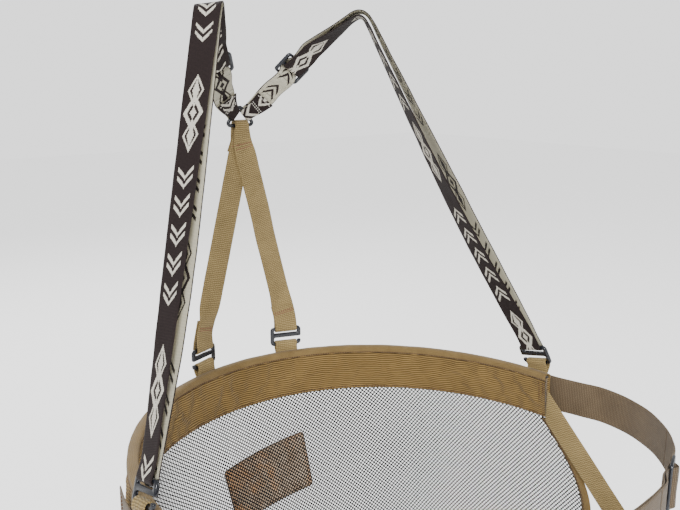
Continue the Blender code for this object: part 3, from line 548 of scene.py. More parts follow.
def jacquard_motif(f, run, across):
    """1 where the motif is woven. Sizes are millimetres of cloth, and each thread shows one colour."""
    thread = 0.75
    u = f.times(f.math("ROUND", f.math("DIVIDE", run, thread)), thread)
    v = f.math("ABSOLUTE", f.times(f.math("ROUND", f.math("DIVIDE", across, thread)), thread))
    q = f.math("MODULO", u, MOTIF_PERIOD)

    def lozenge(middle, half_length, half_width):
        along = f.math("DIVIDE", f.apart(q, middle), half_length)
        return f.math("ADD", along, f.math("DIVIDE", v, half_width))

    def inside(value, low, high):
        above = f.math("GREATER_THAN", value, low)
        return f.times(above, f.math("LESS_THAN", value, high))

    # A large lozenge, its outline and its core, between two narrow ones with outlines of their own
    centre = 44
    big = lozenge(centre, 17, 9.6)
    marks = [inside(big, 0.62, 1.0), f.math("LESS_THAN", big, 0.32)]
    for middle in (centre - 20, centre + 20):
        marks.append(f.math("LESS_THAN", lozenge(middle, 11, 3.4), 1.0))
        marks.append(inside(lozenge(middle, 15, 7.8), 0.76, 1.0))
    # A run of slanted bars in pairs
    slanted = f.math("ADD", q, f.times(v, 1.1))
    step = f.math("MODULO", slanted, 24.0)
    bars = f.math("MAXIMUM", inside(step, 3, 6.6), inside(step, 10.5, 14.1))
    bars = f.times(bars, inside(slanted, 98, 206))
    marks.append(f.times(bars, f.math("LESS_THAN", v, 8.2)))
    motif = marks[0]
    for mark in marks[1:]:
        motif = f.math("MAXIMUM", motif, mark)
    return motif


def jacquard_finish(name, phase):
    """Suspender webbing: ivory lozenges and slanted bars on brown, inverted on its reverse."""
    f = Finish(name, "suspender_jacquard")
    run = f.math("ADD", f.cloth("run"), phase + MOTIF_START)
    across = f.cloth("across")
    motif = jacquard_motif(f, run, across)
    face = f.cloth("face", 1.0)
    back = f.math("LESS_THAN", face, 0.0)
    edge = f.math("GREATER_THAN", f.math("ABSOLUTE", across), 11.9)
    light = f.apart(motif, back)
    light = f.times(light, f.math("SUBTRACT", 1.0, edge))
    ribs = f.wave(run, 1.15)
    warp = f.wave(across, 1.0)
    weave = f.times(f.math("MULTIPLY_ADD", ribs, 0.6, 0.4), f.math("MULTIPLY_ADD", warp, 0.4, 0.6))
    cloth = f.plane(run, across)
    fleck = f.noise(f.plane(f.times(run, 0.5), across), 1.3, 2.0)
    # Painted shade and highlight: each thread colour runs from its dark tone in the weave's grooves to its
    # light tone on the ridges; the fleck adds real tone to the brown.
    brown = f.blend(f.times(weave, fleck), *BROWN)
    ivory = f.blend(weave, *IVORY)
    beige = f.blend(weave, *BEIGE)
    pale = f.blend(back, ivory, beige)
    f.set(Base_Color=f.blend(light, brown, pale), Roughness=f.fade(weave, 0, 1, 0.85, 0.6))
    f.bump(f.math("ADD", weave, f.times(light, 0.5)), 0.3 * MM, 0.7)
    f.bump(f.noise(cloth, 0.08, 2.0), 0.6 * MM, 0.25)
    fuzzy(f, 0.05)
    return f


def net_finish():
    f = Finish("black_net_yarn", "black_mesh")
    place = f.place()
    twist = f.noise(place, 2600, 2.0)
    dust = f.noise(place, 30, 3.0)
    f.set(Base_Color=f.blend(f.times(twist, dust), (0.003, 0.003, 0.003), (0.035, 0.033, 0.03)),
          Roughness=0.65)
    f.bump(twist, 0.15 * MM, 0.8)
    fuzzy(f, 0.02)
    return f


def leather_finish():
    f = Finish("worn_leather", "leather")
    run, across = f.cloth("run"), f.cloth("across")
    cloth = f.plane(run, across)
    grain = f.cells(cloth, 0.9)
    cloud = f.noise(cloth, 0.05, 5.0, 0.6)
    warm = f.noise(f.plane(run, across, 9.0), 0.05, 3.0)
    half_width, half_height = PATCH_SIZE[0] / 2 / MM, PATCH_SIZE[1] / 2 / MM
    base = f.blend(f.fade(cloud, 0.35, 0.7), (0.56, 0.39, 0.26), (0.90, 0.72, 0.54))
    from_end = f.fade(f.apart(run, half_width), half_width - 30, half_width)
    warm = f.math("ADD", warm, f.times(from_end, 0.12))
    base = f.blend(f.fade(warm, 0.52, 0.72), base, (0.92, 0.52, 0.26))
    edge = f.math("MAXIMUM", f.fade(f.math("ABSOLUTE", across), half_height - 2, half_height),
                  f.fade(f.apart(run, half_width), half_width - 2, half_width))
    outer = f.math("LESS_THAN", f.cloth("face", 1.0), 0.5)
    base = f.blend(f.times(outer, 0.9), base, (0.15, 0.075, 0.034))
    f.set(Base_Color=f.blend(edge, base, (0.16, 0.085, 0.045)), Roughness=f.fade(grain, 0, 0.6, 0.7, 0.42))
    f.bump(grain, 0.35 * MM, 0.5)
    f.bump(cloud, 0.8 * MM, 0.4)
    return f


def metal_finish(name, slot, colour, rough):
    """Glossy enamel over cast metal, with a slight orange peel and rubbed patches at random places."""
    f = Finish(name, slot)
    place = f.place()
    peel = f.noise(place, 420, 2.0)
    scuff = f.noise(place, 95, 5.0, 0.7)
    rubbed = f.fade(scuff, 0.62, 0.78)
    f.set(Base_Color=f.blend(rubbed, colour, tuple(min(4 * c + 0.02, 1) for c in colour)),
          Roughness=f.fade(scuff, 0.3, 0.8, rough, rough + 0.22), Metallic=0.3)
    f.shader.inputs["Coat Weight"].default_value = 1.0
    f.shader.inputs["Coat Roughness"].default_value = 0.1
    f.bump(peel, 0.06 * MM, 0.35)
    return f


def plastic_finish():
    f = Finish("moulded_acetal", "buckle_plastic")
    place = f.place()
    grain = f.noise(place, 900, 3.0)
    scuff = f.noise(place, 60, 5.0, 0.7)
    f.set(Base_Color=f.blend(f.fade(scuff, 0.5, 0.85), (0.012, 0.012, 0.013), (0.05, 0.05, 0.052)),
          Roughness=f.fade(scuff, 0.3, 0.8, 0.38, 0.6))
    f.bump(grain, 0.08 * MM, 0.5)
    return f


def thread_finish(name, slot, colour):
    f = Finish(name, slot)
    place = f.place()
    twist = f.noise(place, 1800, 2.0)
    f.set(Base_Color=f.blend(twist, tuple(0.45 * c for c in colour), colour), Roughness=0.7)
    f.bump(twist, 0.1 * MM, 0.6)
    fuzzy(f, 0.1)
    return f


# Dark and light tones of the coyote webbing: its weave paints the dark one in its grooves as shade and the
# light one on its ridges as highlight
TAN_DARK_AND_GROOVE_SHADE, TAN_LIGHT_AND_RIDGE_HIGHLIGHT = (0.06, 0.039, 0.012), (0.48, 0.345, 0.145)
WEBBING = webbing_finish("coyote_webbing_weave", "coyote_webbing", TAN_DARK_AND_GROOVE_SHADE, TAN_LIGHT_AND_RIDGE_HIGHLIGHT)
# The belt's and the binding tape's weaves paint their first tone in the grooves as shade and their second on
# the ridges as highlight.
BELT_CLOTH = webbing_finish("taupe_belt_weave", "belt_taupe", (0.036, 0.023, 0.013),
                            (0.225, 0.162, 0.096), 1.8, 2.0, 0.8)
BAND_CLOTH = band_finish()
TAPE = webbing_finish("binding_tape", "coyote_binding", (0.075, 0.044, 0.012), (0.41, 0.275, 0.105),
                      1.3, 1.3, 0.6)
NET = net_finish()
LEATHER = leather_finish()
HOOK_ENAMEL = metal_finish("hook_enamel", "hook_metal", (0.007, 0.009, 0.016), 0.18)
SLIDE_ENAMEL = metal_finish("slide_enamel", "slide_black", (0.006, 0.009, 0.017), 0.25)
PLASTIC = plastic_finish()
DARK_THREAD = thread_finish("dark_thread", "coyote_band", (0.16, 0.085, 0.045))
ROSE_THREAD = thread_finish("rose_thread", "coyote_webbing", (0.40, 0.17, 0.11))
JACQUARD = {label: jacquard_finish(f"jacquard_{label}", phase) for label, phase in MOTIF_PHASE.items()}
PALE_THREAD = thread_finish("pale_thread", "suspender_jacquard", (0.82, 0.78, 0.70))


# ---- Stitches --------------------------------------------------------------------------------------
THREAD_LIFT = 0.1 * MM
# A stitch's share of its pitch, how far its ends dip in thread radii, and how far it spreads sideways
STITCH_SHARE, STITCH_DIP, STITCH_SPREAD = 0.82, 1.6, 1.15


def stitches(name, lines, finish, pitch=3.4 * MM, size=0.42 * MM):
    """Rows of single stitches, each a small plump thread lying on the cloth.

    Each line is a list of points with the cloth's outward direction at each."""
    points, faces = [], []
    ring = 6
    # Places along a stitch and its girth there
    profile = [(-0.5, 0.35), (-0.3, 1.0), (0.0, 1.1), (0.3, 1.0), (0.5, 0.35)]
    for path, normal in lines:
        path, normal = np.asarray(path), np.asarray(normal)
        at = lengths_along(path)
        count = max(int(at[-1] / pitch), 1)
        for i in range(count):
            span = [(i + 0.5 + end * STITCH_SHARE) * at[-1] / count for end in (-0.5, 0.5)]
            ends = [np.array([np.interp(s, at, path[:, k]) for k in range(3)]) for s in span]
            out = unit([np.interp(np.mean(span), at, normal[:, k]) for k in range(3)])
            forward = ends[1] - ends[0]
            length = np.linalg.norm(forward)
            forward = forward / length
            side = unit(np.cross(out, forward))
            up = np.cross(forward, side)
            start = len(points)
            for where, girth in profile:
                dip = -STITCH_DIP * size * (2 * where) ** 4
                middle = (ends[0] + ends[1]) / 2 + forward * length * where + up * (THREAD_LIFT + dip)
                for k in range(ring):
                    turn = 2 * math.pi * k / ring
                    around = side * math.cos(turn) * STITCH_SPREAD + up * math.sin(turn)
                    points.append(middle + girth * size * around)
            for level in range(len(profile) - 1):
                for k in range(ring):
                    a, b = start + level * ring + k, start + level * ring + (k + 1) % ring
                    faces.append((a, b, b + ring, a + ring))
            faces.append(tuple(start + k for k in reversed(range(ring))))
            faces.append(tuple(start + (len(profile) - 1) * ring + k for k in range(ring)))
    return put_mesh(name, points, faces, finish)


def line_across(rows, index, out, inset=1.5 * MM):
    """A stitch line across a strap at a row, on the side that out points to."""
    left, right = rows[index, 0:3], rows[index, 3:6]
    ahead = rows[min(index + 1, len(rows) - 1)]
    before = rows[max(index - 1, 0)]
    forward = (ahead[0:3] + ahead[3:6] - before[0:3] - before[3:6])
    width = unit(right - left)
    normal = unit(np.cross(width, forward)) * (1 if out > 0 else -1)
    lift = normal * abs(out)
    first, last = left + width * inset + lift, right - width * inset + lift
    steps = np.linspace(0, 1, 9)[:, None]
    return first * (1 - steps) + last * steps, np.tile(normal, (9, 1))


def seam(along, drop, out, sign=1):
    """A stitch line's places on the seat, and the way that its threads face."""
    path = seat_points(along, drop, out)
    return path, seat_points(along, drop, out + sign * MM) - path


def saddle_stitches(name, lines, finish, pitch=3.2 * MM):
    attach(stitches(name, lines, finish, pitch), "saddle")


def tack(rows, alongs, out):
    """Stitch lines across a strap where its doubled end is sewn down."""
    lines = []
    for target in alongs:
        index = int(np.argmin(np.abs(rows[:, 6] - target)))
        index = min(max(index, 1), len(rows) - 2)
        lines.append(line_across(rows, index, out))
    return lines


# ---- Net -------------------------------------------------------------------------------------------
NET_PITCH = 3.3 * MM
NET_ANGLE = math.radians(37)
NET_HOLE = 0.355
HOLE_CORNERS = 8


def make_net():
    """An open knotted net on the bias, its knots thicker than its strands."""
    reach = BAND_HALF_LENGTH + SIDE_BULGE
    span = int(reach * 1.15 / NET_PITCH)
    cos, sin = math.cos(NET_ANGLE), math.sin(NET_ANGLE)
    middle = SEAT_HEIGHT / 2
    i, j = np.meshgrid(np.arange(-span, span), np.arange(-span, span), indexing="ij")

    def spot(a, b):
        a, b = a * NET_PITCH, b * NET_PITCH
        return cos * a - sin * b, middle + sin * a + cos * b

    along, drop = spot(i + 0.5, j + 0.5)
    rim, side_margin = 6 * MM, 1.5 * MM
    kept = (drop > BAND_HEIGHT - rim) & (drop < SEAT_HEIGHT - BAND_HEIGHT + rim)
    kept &= np.abs(along) < BAND_HALF_LENGTH + side_reach(drop) - side_margin
    i, j = i[kept], j[kept]
    count = len(i)
    corner_of = {}
    corners = np.empty((count, 4), int)
    for k, (a, b) in enumerate(zip(i.tolist(), j.tolist())):
        for c, key in enumerate(((a, b), (a + 1, b), (a + 1, b + 1), (a, b + 1))):
            corners[k, c] = corner_of.setdefault(key, len(corner_of))
    keys = np.array(list(corner_of))
    along, drop = spot(keys[:, 0], keys[:, 1])
    knot = 0.55 * MM
    top = seat_points(along, drop, knot)
    bottom = seat_points(along, drop, -knot)
    wobble = 0.04 * np.sin(12.9898 * i + 78.233 * j)
    holes = []
    for k in range(HOLE_CORNERS):
        turn = 2 * math.pi * (k - 2.5) / HOLE_CORNERS
        reach_a = 0.5 + (NET_HOLE + wobble) * math.cos(turn)
        reach_b = 0.5 + (NET_HOLE - wobble) * math.sin(turn)
        holes.append(seat_points(*spot(i + reach_a, j + reach_b), 0.0))
    hole = np.stack(holes, axis=1).reshape(-1, 3)
    base = len(keys)
    points = np.vstack([top, bottom, hole])
    h = 2 * base + np.arange(HOLE_CORNERS * count).reshape(-1, HOLE_CORNERS)
    faces = []
    for c in range(4):
        d = (c + 1) % 4
        near, far = 2 * c, 2 * c + 1
        after = (near + 2) % HOLE_CORNERS
        faces.append([corners[:, c], corners[:, d], h[:, far], h[:, near]])
        faces.append([corners[:, d] + base, corners[:, c] + base, h[:, near], h[:, far]])
        faces.append([corners[:, d], h[:, after], h[:, far]])
        faces.append([corners[:, d] + base, h[:, far], h[:, after]])
    faces = [row for face in faces for row in np.stack(face, axis=1).tolist()]
    on_saddle(put_mesh("net_panel", points, faces, NET), "mesh_panel")


# ---- Bands -----------------------------------------------------------------------------------------
BAND_INNER_OUT, BAND_OUTER_OUT = -1.9 * MM, 4.4 * MM
BAND_EDGE = 1.8 * MM
CROWN = 0.9 * MM
# Slight creases that the sleeve starts with, so that where it puckers is settled beforehand
FIRST_CREASE = 1.6 * MM
SETTLE_FRAMES = 10
# The simulated fabric: kg per point, stiffnesses, how far it is cut too long, and the padding's pressure
BAND_FABRIC = {
    "quality": 6, "mass": 0.15, "tension_stiffness": 25, "compression_stiffness": 25,
    "bending_stiffness": 0.12, "shrink_min": -0.03, "use_pressure": True, "uniform_pressure_force": 0.6,
}
PUCKER_DEPTH = 0.8 * MM
HELD_ROWS = 9
CORD_DEPTH = 0.3 * MM
CORD_ROWS, CORD_COLUMNS = 361, 121


def flat_band():
    """A band laid out flat as a closed sleeve: places are (along, out, down), seams at its two edges."""
    rows = np.linspace(-BAND_HALF_LENGTH, BAND_HALF_LENGTH, 241)
    downs = np.linspace(BAND_EDGE, BAND_HEIGHT - BAND_EDGE, 21)
    loop = [(d, BAND_INNER_OUT) for d in downs] + [(d, BAND_OUTER_OUT) for d in downs[::-1]]
    loop = np.array(loop)
    grid = np.empty((len(rows), len(loop), 3))
    grid[..., 0] = rows[:, None]
    grid[..., 1] = loop[None, :, 1]
    grid[..., 2] = loop[None, :, 0]
    return grid


def tube_faces(rows, columns):
    """Faces of a sleeve whose columns close on themselves, and its point numbers."""
    index = np.arange(rows * columns).reshape(rows, columns)
    a, b = index[:-1], np.roll(index, -1, axis=1)[:-1]
    c, d = np.roll(index, -1, axis=1)[1:], index[1:]
    faces = np.stack([a, b, c, d], axis=-1).reshape(-1, 4).tolist()
    return faces, index


def between_seams(grid):
    """0 at the sleeve's seams, rising to 1 midway between them."""
    share = np.clip((grid[..., 2] - BAND_EDGE) / (BAND_HEIGHT - 2 * BAND_EDGE), 0, 1)
    return np.sin(math.pi * share)


def padded(grid):
    """The sleeve after its padding is blown up and its cloth, cut a little long, puckers between seams."""
    rows, columns = grid.shape[:2]
    faces, index = tube_faces(rows, columns)
    start = grid.copy()
    start[..., 1] += ripple(grid * np.array([1, 1, 0.35]), 9 * MM, FIRST_CREASE, 4.0) * between_seams(grid)
    mesh = bpy.data.meshes.new("band_form")
    mesh.from_pydata(start.reshape(-1, 3).tolist(), [], [f[::-1] for f in faces])
    obj = put("band_form", mesh)
    held = obj.vertex_groups.new(name="seams")
    down = grid[..., 2]
    sewn = (down < BAND_EDGE + 1 * MM) | (down > BAND_HEIGHT - BAND_EDGE - 1 * MM)
    sewn |= np.abs(grid[..., 0]) > BAND_HALF_LENGTH - 1 * MM
    held.add([int(v) for v in index[sewn]], 1.0, "REPLACE")
    cloth = obj.modifiers.new("cloth", "CLOTH").settings
    for setting, value in BAND_FABRIC.items():
        setattr(cloth, setting, value)
    cloth.vertex_group_mass = "seams"
    cloth.effector_weights.gravity = 0
    scene = bpy.context.scene
    for number in range(1, SETTLE_FRAMES + 1):
        scene.frame_set(number)
    settled = bpy.data.meshes.new_from_object(obj.evaluated_get(bpy.context.evaluated_depsgraph_get()))
    moved = np.empty(len(settled.vertices) * 3)
    settled.vertices.foreach_get("co", moved)
    scene.frame_set(1)
    bpy.data.objects.remove(obj)
    bpy.data.meshes.remove(mesh)
    bpy.data.meshes.remove(settled)
    return crowned(grid, held_straight(moved.reshape(grid.shape) - grid))


def held_straight(move):
    """The cloth's movement without the band's own swing, which the webbing inside it holds back."""
    window = np.hanning(2 * HELD_ROWS + 3)[1:-1]
    wide = np.pad(move, ((HELD_ROWS, HELD_ROWS), (0, 0), (0, 0)), mode="edge")
    swing = sum(share * wide[i:i + len(move)] for i, share in enumerate(window / window.sum()))
    pucker = move - swing
    near = np.pad(pucker, ((1, 1), (0, 0), (0, 0)), mode="edge")
    pucker = 0.5 * pucker + 0.25 * (near[:-2] + near[2:])
    return pucker * PUCKER_DEPTH / pucker[..., 1].std()


def crowned(grid, pucker):
    """Adds puckers to the sleeve, and the slight fullness that its padding gives each ply."""
    out = grid + np.clip(pucker, -2 * PUCKER_DEPTH, 2 * PUCKER_DEPTH)
    out[..., 1] += CROWN * between_seams(grid) * np.where(grid[..., 1] < 1 * MM, -1, 1)
    return out


def resample(grid, count, axis):
    """The grid with count lines along an axis, on smooth curves through its own lines."""
    grid = np.moveaxis(grid, axis, 0)
    places = np.linspace(0, len(grid) - 1, count)
    low = np.minimum(places.astype(int), len(grid) - 2)
    t = (places - low).reshape((-1,) + (1,) * (grid.ndim - 1))
    slope = np.gradient(grid, axis=0)
    fine = curve(t, grid[low], slope[low], grid[low + 1], slope[low + 1])
    return np.moveaxis(fine, 0, axis)


def corded(form):
    """The sleeve at a finer grain, with its cords standing out along both plies."""
    half = form.shape[1] // 2
    plies = []
    for ply, sign in ((form[:, :half], -1), (form[:, half:], 1)):
        fine = resample(resample(ply, CORD_ROWS, 0), CORD_COLUMNS, 1)
        fine[..., 1] += sign * CORD_DEPTH * np.sin(2 * math.pi * fine[..., 2] / RIB_PITCH)
        plies.append(fine)
    return np.concatenate(plies, axis=1)


def make_bands():
    flat = flat_band()
    shaped = corded(padded(flat))
    rows, columns = shaped.shape[:2]
    for place, top, turned in (("top", 0.0, False), ("bottom", SEAT_HEIGHT - BAND_HEIGHT, True)):
        form = shaped[::-1] * np.array([-1, 1, 1]) if turned else shaped
        down = BAND_HEIGHT - form[..., 2] if turned else form[..., 2]
        places = seat_points(form[..., 0], top + down, form[..., 1])
        faces, index = tube_faces(rows, columns)
        faces = [f[::-1] for f in faces] if not turned else faces
        half = columns // 2
        for row, flip in ((0, True), (rows - 1, False)):
            line = index[row]
            for k in range(half - 1):
                quad = (line[k], line[k + 1], line[columns - 2 - k], line[columns - 1 - k])
                faces.append(tuple(int(v) for v in (quad[::-1] if flip else quad)))
        obj = put_mesh(f"{place}_band", places.reshape(-1, 3), faces, BAND_CLOTH,
                       run=form[..., 0], across=form[..., 2], face=np.ones(down.shape))
        on_saddle(obj, f"{place}_band_inner", f"{place}_band_outer", f"{place}_load_webbing")


BAND_TAPE_THICK, SIDE_TAPE_THICK = 0.9 * MM, 0.8 * MM
TAPE_REACH = 5.2 * MM


def along_grid(alongs, profile, top=0.0, sense=1.0, seed=0.0, wave=0.25 * MM):
    """A sheet whose rows run along the seat and whose columns follow a (down, out) profile."""
    profile = np.asarray(profile)
    grid = seat_points(alongs[:, None], top + sense * profile[None, :, 0], profile[None, :, 1])
    steps = lengths_along(profile)
    across = np.broadcast_to(steps - steps[-1] / 2, grid.shape[:2])
    run = np.broadcast_to(alongs[:, None], grid.shape[:2])
    cloth = np.stack([run, across, 0 * run], axis=-1)
    grid = grid + normals_of(grid) * ripple(cloth, 14 * MM, wave, seed)[..., None]
    return {"grid": grid, "run": run, "across": across}


def make_band_bindings():
    """Folded tape over the outer edge of each band, with its legs stitched through both sides."""
    alongs = np.linspace(-BAND_HALF_LENGTH, BAND_HALF_LENGTH, 300)
    low, high = -3.1 * MM, 5.6 * MM
    middle, half = (low + high) / 2, (high - low) / 2
    leg = TAPE_REACH
    profile = [(leg, low + 0.3 * MM), (leg * 0.8, low), (leg * 0.45, low - 0.25 * MM)]
    profile += [(-half * 0.5 * sine, middle - half * cosine) for sine, cosine in half_turn(12)]
    profile += [(leg * 0.45, high + 0.25 * MM), (leg * 0.8, high), (leg, high - 0.3 * MM)]
    sewn = leg - 1.1 * MM
    for place, top, sense in (("top", 0.0, 1.0), ("bottom", SEAT_HEIGHT, -1.0)):
        part = along_grid(alongs, profile, top, sense, 3.0 + sense)
        obj = piece(f"{place}_binding_tape", [part], BAND_TAPE_THICK, TAPE)
        on_saddle(obj, f"{place}_binding")
        lines = [seam(alongs, top + sense * sewn, out, sign)
                 for out, sign in ((low - 0.35 * MM, -1), (high + 0.35 * MM, 1))]
        saddle_stitches(f"{place}_binding_stitches", lines, DARK_THREAD, 2.9 * MM)


def make_band_stitches():
    """Rows of stitches along the free edge of each band and up its two ends, inside and outside."""
    margin, proud = 4 * MM, 0.35 * MM
    alongs = np.linspace(-BAND_HALF_LENGTH + 3 * MM, BAND_HALF_LENGTH - 3 * MM, 260)
    for place, top, inset in (
        ("top", 0.0, BAND_HEIGHT - margin),
        ("bottom", SEAT_HEIGHT - BAND_HEIGHT, margin),
    ):
        downs = np.linspace(top + 8 * MM, top + BAND_HEIGHT - 5 * MM, 16)
        lines = []
        for out, sign in ((BAND_INNER_OUT - proud, -1), (BAND_OUTER_OUT + proud, 1)):
            lines.append(seam(alongs, top + inset, out, sign))
            for end in (-1, 1):
                for back in (margin, 9 * MM):
                    at = end * (BAND_HALF_LENGTH - back)
                    lines.append(seam(at, downs, out - sign * THREAD_LIFT, sign))
        saddle_stitches(f"{place}_band_stitches", lines, DARK_THREAD, 3.3 * MM)


def make_side_bindings():
    """Tape folded over the net's two bulging side edges."""
    drops = np.linspace(BAND_HEIGHT + 0.6 * MM, SEAT_HEIGHT - BAND_HEIGHT - 0.6 * MM, 90)
    leg = 8 * MM
    ply = [(-leg, 1.35 * MM), (-leg * 0.6, 1.485 * MM), (-leg * 0.2, 1.485 * MM), (1.0 * MM, 1.215 * MM),
           (1.9 * MM, 0.675 * MM)]
    profile = np.array([(a, -out) for a, out in ply] + [(2.2 * MM, 0)] + ply[::-1])
    steps = lengths_along(profile)
    for side, label in SIDES:
        edge = BAND_HALF_LENGTH + side_reach(drops)[:, None]
        grid = seat_points(side * (edge + profile[None, :, 0]), drops[:, None], profile[None, :, 1])
        if side > 0:
            grid = grid[:, ::-1]
        shape = grid.shape[:2]
        part = {"grid": grid, "run": np.broadcast_to(drops[:, None], shape),
                "across": np.broadcast_to(steps - steps[-1] / 2, shape)}
        obj = piece(f"side_binding_tape_{label}", [part], SIDE_TAPE_THICK, TAPE)
        on_saddle(obj, f"side_binding_{label}")
        at = side * (edge[:, 0] - leg * 0.6)
        lines = [seam(at, drops, sign * 1.9 * MM, sign) for sign in (-1, 1)]
        saddle_stitches(f"side_binding_stitches_{label}", lines, DARK_THREAD)


def make_patch():
    """A worn hide patch on the outside of the net, stitched round its edge."""
    half_width, half_height = PATCH_SIZE[0] / 2, PATCH_SIZE[1] / 2
    turn = math.radians(PATCH_TURN)

    def spot(u, v):
        return (PATCH_ALONG + u * math.cos(turn) - v * math.sin(turn),
                PATCH_DROP + v * math.cos(turn) + u * math.sin(turn))

    u = np.linspace(-half_width, half_width, 72)
    v = np.linspace(-half_height, half_height, 46)
    uu, vv = np.meshgrid(u, v, indexing="ij")
    corner = 3.5 * MM
    over_u = np.maximum(np.abs(uu) - half_width + corner, 0)
    over_v = np.maximum(np.abs(vv) - half_height + corner, 0)
    reach = np.hypot(over_u, over_v)
    trim = np.where(reach > corner, corner / np.maximum(reach, 1e-9), 1.0)
    uu = np.sign(uu) * (np.minimum(np.abs(uu), half_width - corner) + over_u * trim)
    vv = np.sign(vv) * (np.minimum(np.abs(vv), half_height - corner) + over_v * trim)
    cloth = np.stack([uu, vv, 0 * uu], axis=-1)
    lift = PATCH_OUT + ripple(cloth, 26 * MM, 0.35 * MM, 7.0)
    grid = seat_points(*spot(uu, vv), lift)
    part = {"grid": grid, "run": uu + half_width, "across": vv}
    obj = piece("hide_patch", [part], PATCH_THICK, LEATHER)
    on_saddle(obj, "leather_patch")
    inset = 3.5 * MM
    a, b = half_width - inset, half_height - inset
    loop = np.array([(-a, -b), (a, -b), (a, b), (-a, b), (-a, -b)])
    share = np.linspace(0, 4, 161)
    ring = np.stack([np.interp(share, range(5), loop[:, k]) for k in (0, 1)], axis=1)
    proud = PATCH_THICK / 2 + THREAD_LIFT
    lines = [seam(*spot(ring[:, 0], ring[:, 1]), PATCH_OUT + sign * proud, sign) for sign in (-1, 1)]
    saddle_stitches("hide_patch_stitches", lines, DARK_THREAD, 3.6 * MM)


def make_bridge(side, label):
    """Webbing that leaves the band on the bias, folds on an upright line and returns below."""
    top_mid, straight, fold = 33 * MM, 108 * MM, 5.5 * MM
    x_top = SEAT_HALF_WIDTH + lean(math.pi / 2, top_mid) - BRIDGE_OUT
    x_low = SEAT_HALF_WIDTH + SIDE_FLARE + 0.8 * MM
    y_end = -SEAT_DEPTH - 1 * MM
    plan = [(x_top, y_end), (x_top, y_end - 0.75 * straight)]
    plan += [(x_top + fold - fold * cosine, y_end - straight - fold * sine) for sine, cosine in half_turn(8)]
    plan += [(x_top + 1.5 * fold, y_end - 0.72 * straight), (x_low + 1 * MM, y_end - 0.4 * straight),
             (x_low, y_end - 0.2 * straight), (x_low, y_end)]
    plan = np.array(plan)
    travelled = lengths_along(plan)
    sink = (SEAT_HEIGHT - 2 * top_mid) / travelled[-1]
    half = WEBBING_WIDTH / math.sqrt(2)
    fine = np.linspace(0, travelled[-1], 130)
    x, y = np.interp(fine, travelled, plan[:, 0]), np.interp(fine, travelled, plan[:, 1])
    z = -top_mid - sink * fine
    share = ACROSS[None, :]
    grid = np.stack(np.broadcast_arrays(x[:, None], y[:, None], z[:, None] - share * half), axis=-1)
    if side < 0:
        grid = mirrored(grid, -1)[:, ::-1]
        share = share[:, ::-1]
    bias = 1 / math.sqrt(2)
    run = (fine[:, None] + share * half) * bias * 1.3
    across = share * WEBBING_WIDTH / 2 * np.ones_like(run)
    grid = grid + normals_of(grid) * ripple(grid, 20 * MM, 0.2 * MM, 11.0)[..., None]
    part = {"grid": grid, "run": run, "across": across}
    on_saddle(piece(f"bridge_loop_{label}", [part], WEBBING_THICK, WEBBING), f"bridge_webbing_{label}")


# ---- Hook placements -------------------------------------------------------------------------------
def frame_matrix(origin, across, up):
    """A placement from its origin, its x axis and the side that its y axis leans to."""
    x = unit(across)
    y = unit(np.asarray(up) - x * (np.asarray(up) @ x))
    z = np.cross(x, y)
    rows = [(x[k], y[k], z[k], origin[k]) for k in range(3)]
    return Matrix(rows + [(0, 0, 0, 1)])


def hook_places():
    """Each hook's side, distance along the seat, and placement with its bottom bar on the x axis."""
    places = {}
    turn, roll = math.radians(BACK_HOOK_TURN), math.radians(FRONT_HOOK_ROLL)
    for side, label in SIDES:
        for place, along, across in (
            ("back", HOOK_ALONG_BACK, (-math.cos(turn), side * math.sin(turn), 0)),
            ("front", BAND_HALF_LENGTH - HOOK_ALONG_FRONT_INSET,
             (0, side * math.cos(roll), -side * math.sin(roll))),
        ):
            base = seat_points(side * along, 0, HOOK_OUT) + np.array([0, 0, HOOK_AXIS_HEIGHT])
            up = (0, 0, 1) if place == "back" else mirrored(SHOULDER, side) - base
            places[f"{place}_{label}"] = (side, along, frame_matrix(base, across, up))
    return places


HOOKS = hook_places()


def hook_top_bar(placement, beyond=0.0):
    """The middle of a hook's top bar, or a place beyond it."""
    return np.array(placement @ Vector((0, HOOK_TOP + beyond, 0)))


def hook_fold(thickness):
    """The radius of a strap's fold round a hook's top bar, which it hugs past the bar's corners."""
    return fold_radius(math.hypot(HOOK_BAR / 2, HOOK_THICK / 2) - 0.3 * MM, thickness)


